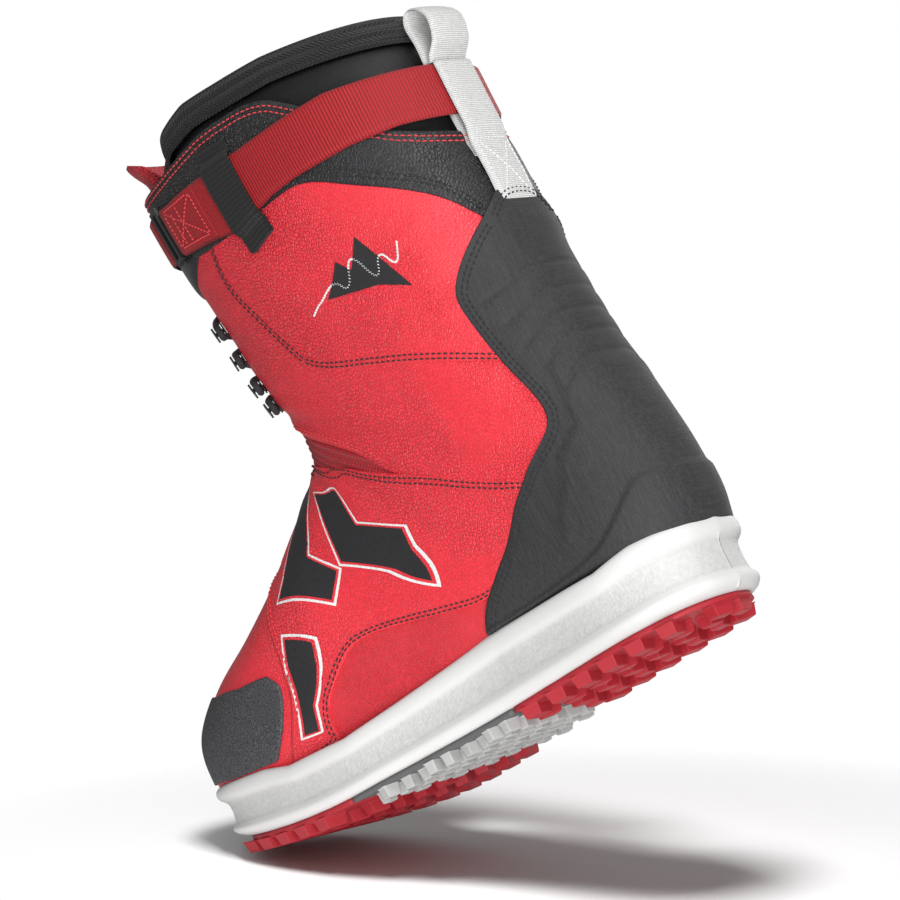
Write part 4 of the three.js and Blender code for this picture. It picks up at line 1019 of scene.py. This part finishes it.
def pad(name, first, last, half, face, mat, body, n, replaces, lean=lambda s: 0 * s, swell=True):
    """A padded tongue: a closed flat cushion on the surface, thinner at its edges."""
    u, v = grid(*n, -1)
    start = first(np.abs(v))
    s = start + (last(np.abs(v)) - start) * u
    deg = v * half
    rim = pillow(u, v, 14)
    channel = 1 - 0.25 * np.exp(-((np.abs(v) - 0.55) / 0.05) ** 2)
    middle = lean(s) - face - TONGUE / 2
    rows = []
    for sign in (1, -1):
        rows.append(skin(s, deg, middle + sign * TONGUE / 2 * rim * (channel if sign > 0 else 1)))
    uv = lengths(rows[0]).reshape(-1, 2)
    obj = make(name, np.array(rows), slab_faces(*n), mat, np.concatenate([uv, uv]))
    if swell:
        swollen(obj, 0.0012)
    hold(obj, body, replaces)


pad("tongue_padding", lambda a: 12.3 + 0 * a, lambda a: 20.35 - 0.5 * a ** 3, 44, 3.4, "tongue", "cuff",
    (90, 50), ("tongue_upper",), lambda s: 8.5 * smooth(19.2, 20.4, s))
pad("tongue_bend", lambda a: 6.8 + 1.2 * a, lambda a: 12.2 + 0 * a, 44, 4.2, "liner", "ankle", (50, 40),
    ("tongue_lower", "tongue_flex"), swell=False)
wall("liner_rim_knit", lift(LINER_RIM, -0.78), LINER_RIM, "rim", "cuff", (26, 240), 1.0, ("liner_rim",))


# ---- straps -----------------------------------------------------------------------------------------
def tape(name, rows, mat, body, thick=1.3, replaces=()):
    """A woven tape through rows of centre-line cross sections: rows is (n, width, 3) on the inner face."""
    p = np.asarray(rows)
    du = np.gradient(p, axis=0)
    dv = np.gradient(p, axis=1)
    normal = np.cross(du, dv)
    normal /= np.linalg.norm(normal, axis=-1)[..., None] + 1e-12
    t = np.linspace(-1, 1, p.shape[1])
    rim_drop = np.sqrt(np.clip(1 - np.abs(t) ** 24, 0, 1))
    middle = p + normal * thick * MM / 2
    outer = middle + normal * (thick * MM / 2 * rim_drop)[None, :, None]
    inner = middle - normal * (thick * MM / 2 * rim_drop)[None, :, None]
    uv = lengths(p)[..., ::-1].reshape(-1, 2)
    obj = make(name, np.array([outer, inner]), slab_faces(*p.shape[:2]), mat, np.concatenate([uv, uv]))
    return hold(obj, body, replaces)


def strap_rows(a, b, out, n, narrow=0.0):
    degs = np.linspace(a, b, n)
    t = np.linspace(0, 1, 18)
    low = along_seam(STRAP_LOW, degs) + narrow
    high = along_seam(STRAP_HIGH, degs) - narrow
    s = low[:, None] + (high - low)[:, None] * t
    lift_out = out(degs)[:, None] if callable(out) else out
    return skin(s, degs[:, None] + 0 * s, lift_out + 0 * s)


STRAP_OUT, STRAP = 2.6, 2.2
ripple = lambda degs: STRAP_OUT + 0.25 * np.sin(np.radians(degs * 3))
tape("power_strap_web", strap_rows(53, 400.5, ripple, 300), "strap", "cuff", STRAP, ("power_strap",))
tape("strap_tail_web", strap_rows(40.5, -50, STRAP_OUT + STRAP + 0.35, 90, 0.03), "strap", "strap_tail",
     STRAP - 0.2, ("strap_tail",))
fold = tape("strap_fold_web", strap_rows(75, 52.6, STRAP_OUT + STRAP + 0.05, 40, 0.02), "strap", "cuff", 1.4)
box_x = []
mid_of = lambda t, deg: (1 - t) * along_seam(STRAP_LOW, deg) + t * along_seam(STRAP_HIGH, deg)
LOW, HIGH = 0.12, 0.88        # the stitched box's edges across the strap
for a, b in (((LOW, 56), (HIGH, 56)), ((HIGH, 56), (HIGH, 73)), ((HIGH, 73), (LOW, 73)),
             ((LOW, 73), (LOW, 56)), ((LOW, 56), (HIGH, 73)), ((HIGH, 56), (LOW, 73)),
             ((LOW, 60), (HIGH, 60)), ((LOW, 64), (HIGH, 64))):
    box_x.append([[float(mid_of(t, d)), float(d)] for t, d in (a, np.add(a, b) / 2, b)])
stitch("strap_box_stitches", box_x, [fold], "thread_red", "cuff", (0,), 2.2, 1.7, 0.45)

for side, k in (("medial", 1), ("lateral", -1)):
    t = np.concatenate([np.linspace(-0.35, -0.08, 8), np.linspace(0, 1, 26), np.linspace(1.08, 1.35, 8)])
    out = 2.2 + (STRAP_OUT + STRAP + 0.45 - 2.2) * smooth(-0.14, -0.0, t) * smooth(1.14, 1.0, t)
    degs = k * np.linspace(81, 90.5, 10)
    low, high = along_seam(STRAP_LOW, degs), along_seam(STRAP_HIGH, degs)
    s = low[None] + (high - low)[None] * t[:, None]
    rows = skin(s, degs[None] + 0 * s, out[:, None] + 0 * s)
    tape(f"keeper_web_{side}", rows[:, ::-k], "keeper", "cuff", 1.3, (f"strap_keeper_{side}",))

u, v = grid(30, 110, -1)
low_edge = 16.25 + 1.05 * v ** 2
s = low_edge + (18.25 - low_edge) * u
p = skin(s, v * 62, 0.4 + 1.8 * pillow(u, v, 10))
shin_pad = make("strap_pad_gloss", p, quads(30, 110), "pad", lengths(p))
hold(shin_pad, "cuff", ("strap_pad",))

# ---- pull loop --------------------------------------------------------------------------------------
LOOP, LOOP_WIDTH = 1.8, 28.0
ACROSS = np.linspace(-1, 1, 18) * LOOP_WIDTH / 2


def rear_angle(s, across, out):
    """The angle round the boot of a point across mm from the middle of the back."""
    half, n = np.moveaxis(catmull(STATIONS, s), -1, 0)[[4, 7]]
    return 180 - np.sign(across) * np.degrees(np.arcsin((np.abs(across) / (half + out)) ** (n / 2)))


def rear_point(s, across, out):
    return skin(s, rear_angle(s, across, out), out)


def rear_band(rows, n=60):
    rows = np.array(rows, float)
    t = np.linspace(0, len(rows) - 1, n)
    s, out = (np.interp(t, np.arange(len(rows)), rows[:, k]) for k in (0, 1))
    kernel = np.ones(5) / 5
    out = np.convolve(np.pad(out, 2, mode="edge"), kernel, "valid")
    return rear_point(s[:, None] + 0 * ACROSS, ACROSS[None] + 0 * s[:, None], out[:, None] + 0 * ACROSS)


OVER = STRAP_OUT + STRAP + 0.6
HINGE = 19.3
outer_run = rear_band([[16.3, 1.6], [16.6, 2.2], [16.9, 3.0], [17.45, 3.2], [17.75, OVER], [18.4, OVER],
                       [HINGE - 0.12, OVER]])
inner_run = rear_band([[17.2, 2.1], [17.6, 0.6], [18.4, 0.4], [HINGE - 0.12, 0.4]])
base = tape("loop_tape_outer", outer_run, "loop", "cuff", thick=LOOP, replaces=("pull_loop_base",))
tape("loop_tape_inner", inner_run, "loop", "cuff", thick=LOOP - 0.3)

foot_x, foot_z = (rear_point(np.array(HINGE), np.array(0.0), OVER)[k] for k in (0, 2))
heel_x, heel_z = (rear_point(np.array(HINGE), np.array(0.0), 0.4)[k] for k in (0, 2))
RISING = ((0, -2), (-1.4, 1), (-7, 7), (-9, 17), (-5, 24), (2, 26))        # mm back and up from each end
FALLING = ((1, 19), (0, 8), (0, -2))
line = np.array([[foot_x + x * MM, foot_z + z * MM] for x, z in RISING]
                + [[heel_x + x * MM, heel_z + z * MM] for x, z in FALLING])
t = np.linspace(0, len(line) - 1, 90)
bow = catmull(line, t)
back_x = lambda a: rear_point(np.array(19.0), np.array(a), 0)[0]
curl = np.array([back_x(a) - back_x(0.0) for a in ACROSS])
rows = np.stack([np.broadcast_to(bow[:, 0][:, None] + curl, (90, 18)), np.broadcast_to(ACROSS * MM, (90, 18)),
                 np.broadcast_to(bow[:, 1][:, None], (90, 18))], -1)
tape("pull_loop_tape", rows[:, ::-1], "loop", "pull_loop", thick=LOOP, replaces=("pull_loop",))

loop_stitch = []
for a, b in (((16.5, 11), (17.5, 11)), ((17.5, 11), (17.5, -11)), ((17.5, -11), (16.5, -11)),
             ((16.5, 11), (17.5, -11)), ((16.5, -11), (17.5, 11))):
    s, across = (np.linspace(a[k], b[k], 9) for k in (0, 1))
    loop_stitch.append(np.column_stack([s, rear_angle(s, across, 3)]))
stitch("loop_box_stitches", loop_stitch, [base], "thread_white", "cuff", (0,), 2.4, 1.9, 0.32)

# ---- carried-over nodes -----------------------------------------------------------------------------
CARRIED = {"lasting_board": "board", "shank": "steel", "footbed": "liner", "lace": "cord",
           "strap_ring": "steel"}
CARRIED.update({f"lace_hook_{k}_{side}": "steel" for k in range(1, 5) for side in SIDES})
for node, mat in CARRIED.items():
    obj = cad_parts[node]
    obj.data.materials.clear()
    obj.data.materials.append(M[mat])
    weld = obj.modifiers.new("weld", "WELD")
    weld.merge_threshold = 0.00001
    if mat == "steel" and node != "shank":
        soft = obj.modifiers.new("edge", "BEVEL")
        soft.width = 0.0004
        soft.segments = 3
        soft.limit_method = "ANGLE"
    if node == "lace":
        soft = obj.modifiers.new("round", "SUBSURF")
        soft.levels = soft.render_levels = 2
        full = obj.modifiers.new("full", "DISPLACE")
        full.strength = 0.0005
        full.mid_level = 0

# ---- camera, floor and light ------------------------------------------------------------------------
PICTURE = 900                 # the picture's side in pixels
SCALE = 2.055 / 0.965         # pixels per mm at the middle of the boot
DISTANCE = 1.93               # metres from there to the camera
SENSOR = 36
AZIMUTH, ELEVATION, ROLL = (math.radians(a) for a in (37.0, 12.8, 24.5))
level = math.cos(ELEVATION)
view = np.array([math.sin(AZIMUTH) * level, -math.cos(AZIMUTH) * level, math.sin(ELEVATION)])
right0 = np.array([-math.cos(AZIMUTH), -math.sin(AZIMUTH), 0])
up0 = np.cross(right0, view)
right = right0 * math.cos(ROLL) - up0 * math.sin(ROLL)
up = right0 * math.sin(ROLL) + up0 * math.cos(ROLL)
target = spot(120.6, 0, 144.75)
camera = bpy.data.objects.new("camera", bpy.data.cameras.new("camera"))
bpy.context.scene.collection.objects.link(camera)
camera.matrix_world = Matrix([[*row] for row in np.column_stack([right, up, -view])]).to_4x4()
camera.location = Vector(target - view * DISTANCE)
camera.data.sensor_width = SENSOR
camera.data.lens = SENSOR * DISTANCE / (PICTURE / SCALE * MM)
camera.data.shift_x = 18 / PICTURE
camera.data.shift_y = -10 / PICTURE
camera.data.clip_end = 20
bpy.context.scene.camera = camera


def place(a, b, c):
    """A point a to the right, b up and c towards the camera from the middle of the boot."""
    return Vector(target + right * a + up * b - view * c)


def area(name, at, size, watts):
    lamp = bpy.data.lights.new(name, "AREA")
    lamp.shape = "RECTANGLE"
    lamp.size, lamp.size_y = size
    lamp.energy = watts
    obj = bpy.data.objects.new(name, lamp)
    bpy.context.scene.collection.objects.link(obj)
    obj.location = place(*at)
    obj.rotation_euler = (place(0, 0, 0) - obj.location).to_track_quat("-Z", "Y").to_euler()
    return obj


lamps = [area("key", (0.25, 0.85, 0.75), (0.6, 0.6), 5),
         area("fill", (0.1, -0.1, 1.2), (0.9, 0.9), 13), area("top", (0.1, 1.2, -0.1), (0.8, 0.8), 3),
         area("under", (0.3, -0.8, 0.8), (0.8, 0.6), 4), area("back", (0.7, 0.4, -0.9), (0.6, 0.9), 4)]

world = bpy.data.worlds.new("studio")
bpy.context.scene.world = world
world.use_nodes = True
nodes, links = world.node_tree.nodes, world.node_tree.links
shade = nodes["Background"]
shade.inputs["Color"].default_value = (1, 1, 1, 1)
shade.inputs["Strength"].default_value = 0.27
plain = nodes.new("ShaderNodeBackground")
plain.inputs["Color"].default_value = (1, 1, 1, 1)
plain.inputs["Strength"].default_value = 1.0
ray = nodes.new("ShaderNodeLightPath")
either = nodes.new("ShaderNodeMixShader")
links.new(ray.outputs["Is Camera Ray"], either.inputs[0])
links.new(shade.outputs[0], either.inputs[1])
links.new(plain.outputs[0], either.inputs[2])
links.new(either.outputs[0], nodes["World Output"].inputs["Surface"])
bpy.context.scene.view_settings.view_transform = "Standard"

# floor: a pale sheet under the toe, level in the picture
floor_up = up * math.cos(math.radians(7)) - view * math.sin(math.radians(7))
floor_side = right
floor_deep = np.cross(floor_up, floor_side)


def lowest_of(obj):
    """How low the piece reaches along the floor's own up."""
    points = np.array([tuple(v.co) for v in obj.data.vertices])
    return float((points @ np.array(obj.matrix_world)[:3, :3].T @ floor_up).min())


lowest = min(lowest_of(obj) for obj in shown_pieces() if obj.type == "MESH")
contact = target + floor_up * (lowest - float(np.dot(target, floor_up)) - 0.0004)
reaches = ((-0.26, -0.14), (0.38, -0.14), (0.38, 0.3), (-0.26, 0.3))
corners = [contact + floor_side * a + floor_deep * b for a, b in reaches]
floor_mat = Mat("floor_pale", (0.72, 0.72, 0.72), 0.8)
M["floor"] = floor_mat.m
floor = make("floor", corners, [[0, 1, 2, 3]], "floor", [(-1, -0.75), (1, -0.75), (1, 1), (-1, 1)])
x, y, _ = floor_mat.split(floor_mat.coords(uv=True))
far = floor_mat.math("ADD", floor_mat.math("MULTIPLY", x, x), floor_mat.math("MULTIPLY", y, y))
floor_mat.link(floor_mat.ramp(far, 0.2, 0.95, 1, 0), floor_mat.b.inputs["Alpha"])
floor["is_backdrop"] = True

# the floor's shadow comes from one lamp over it; the other lamps leave the floor out
over = area("over", (0, 0, 0), (0.28, 0.28), 17)
over.location = Vector(contact + floor_up - floor_deep * 0.45)
over.rotation_euler = Vector(floor_deep * 0.45 - floor_up).to_track_quat("-Z", "Y").to_euler()
left_out = bpy.data.collections.new("left_out")
left_out.objects.link(floor)
left_out.collection_objects[0].light_linking.link_state = "EXCLUDE"
for lamp in lamps:
    lamp.light_linking.receiver_collection = left_out
lit_only = bpy.data.collections.new("lit_only")
lit_only.objects.link(floor)
over.light_linking.receiver_collection = lit_only
shading = bpy.data.collections.new("shading")
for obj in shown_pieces():
    if obj.name.startswith(("midsole", "outsole", "toe_", "vamp")):
        shading.objects.link(obj)
over.light_linking.blocker_collection = shading
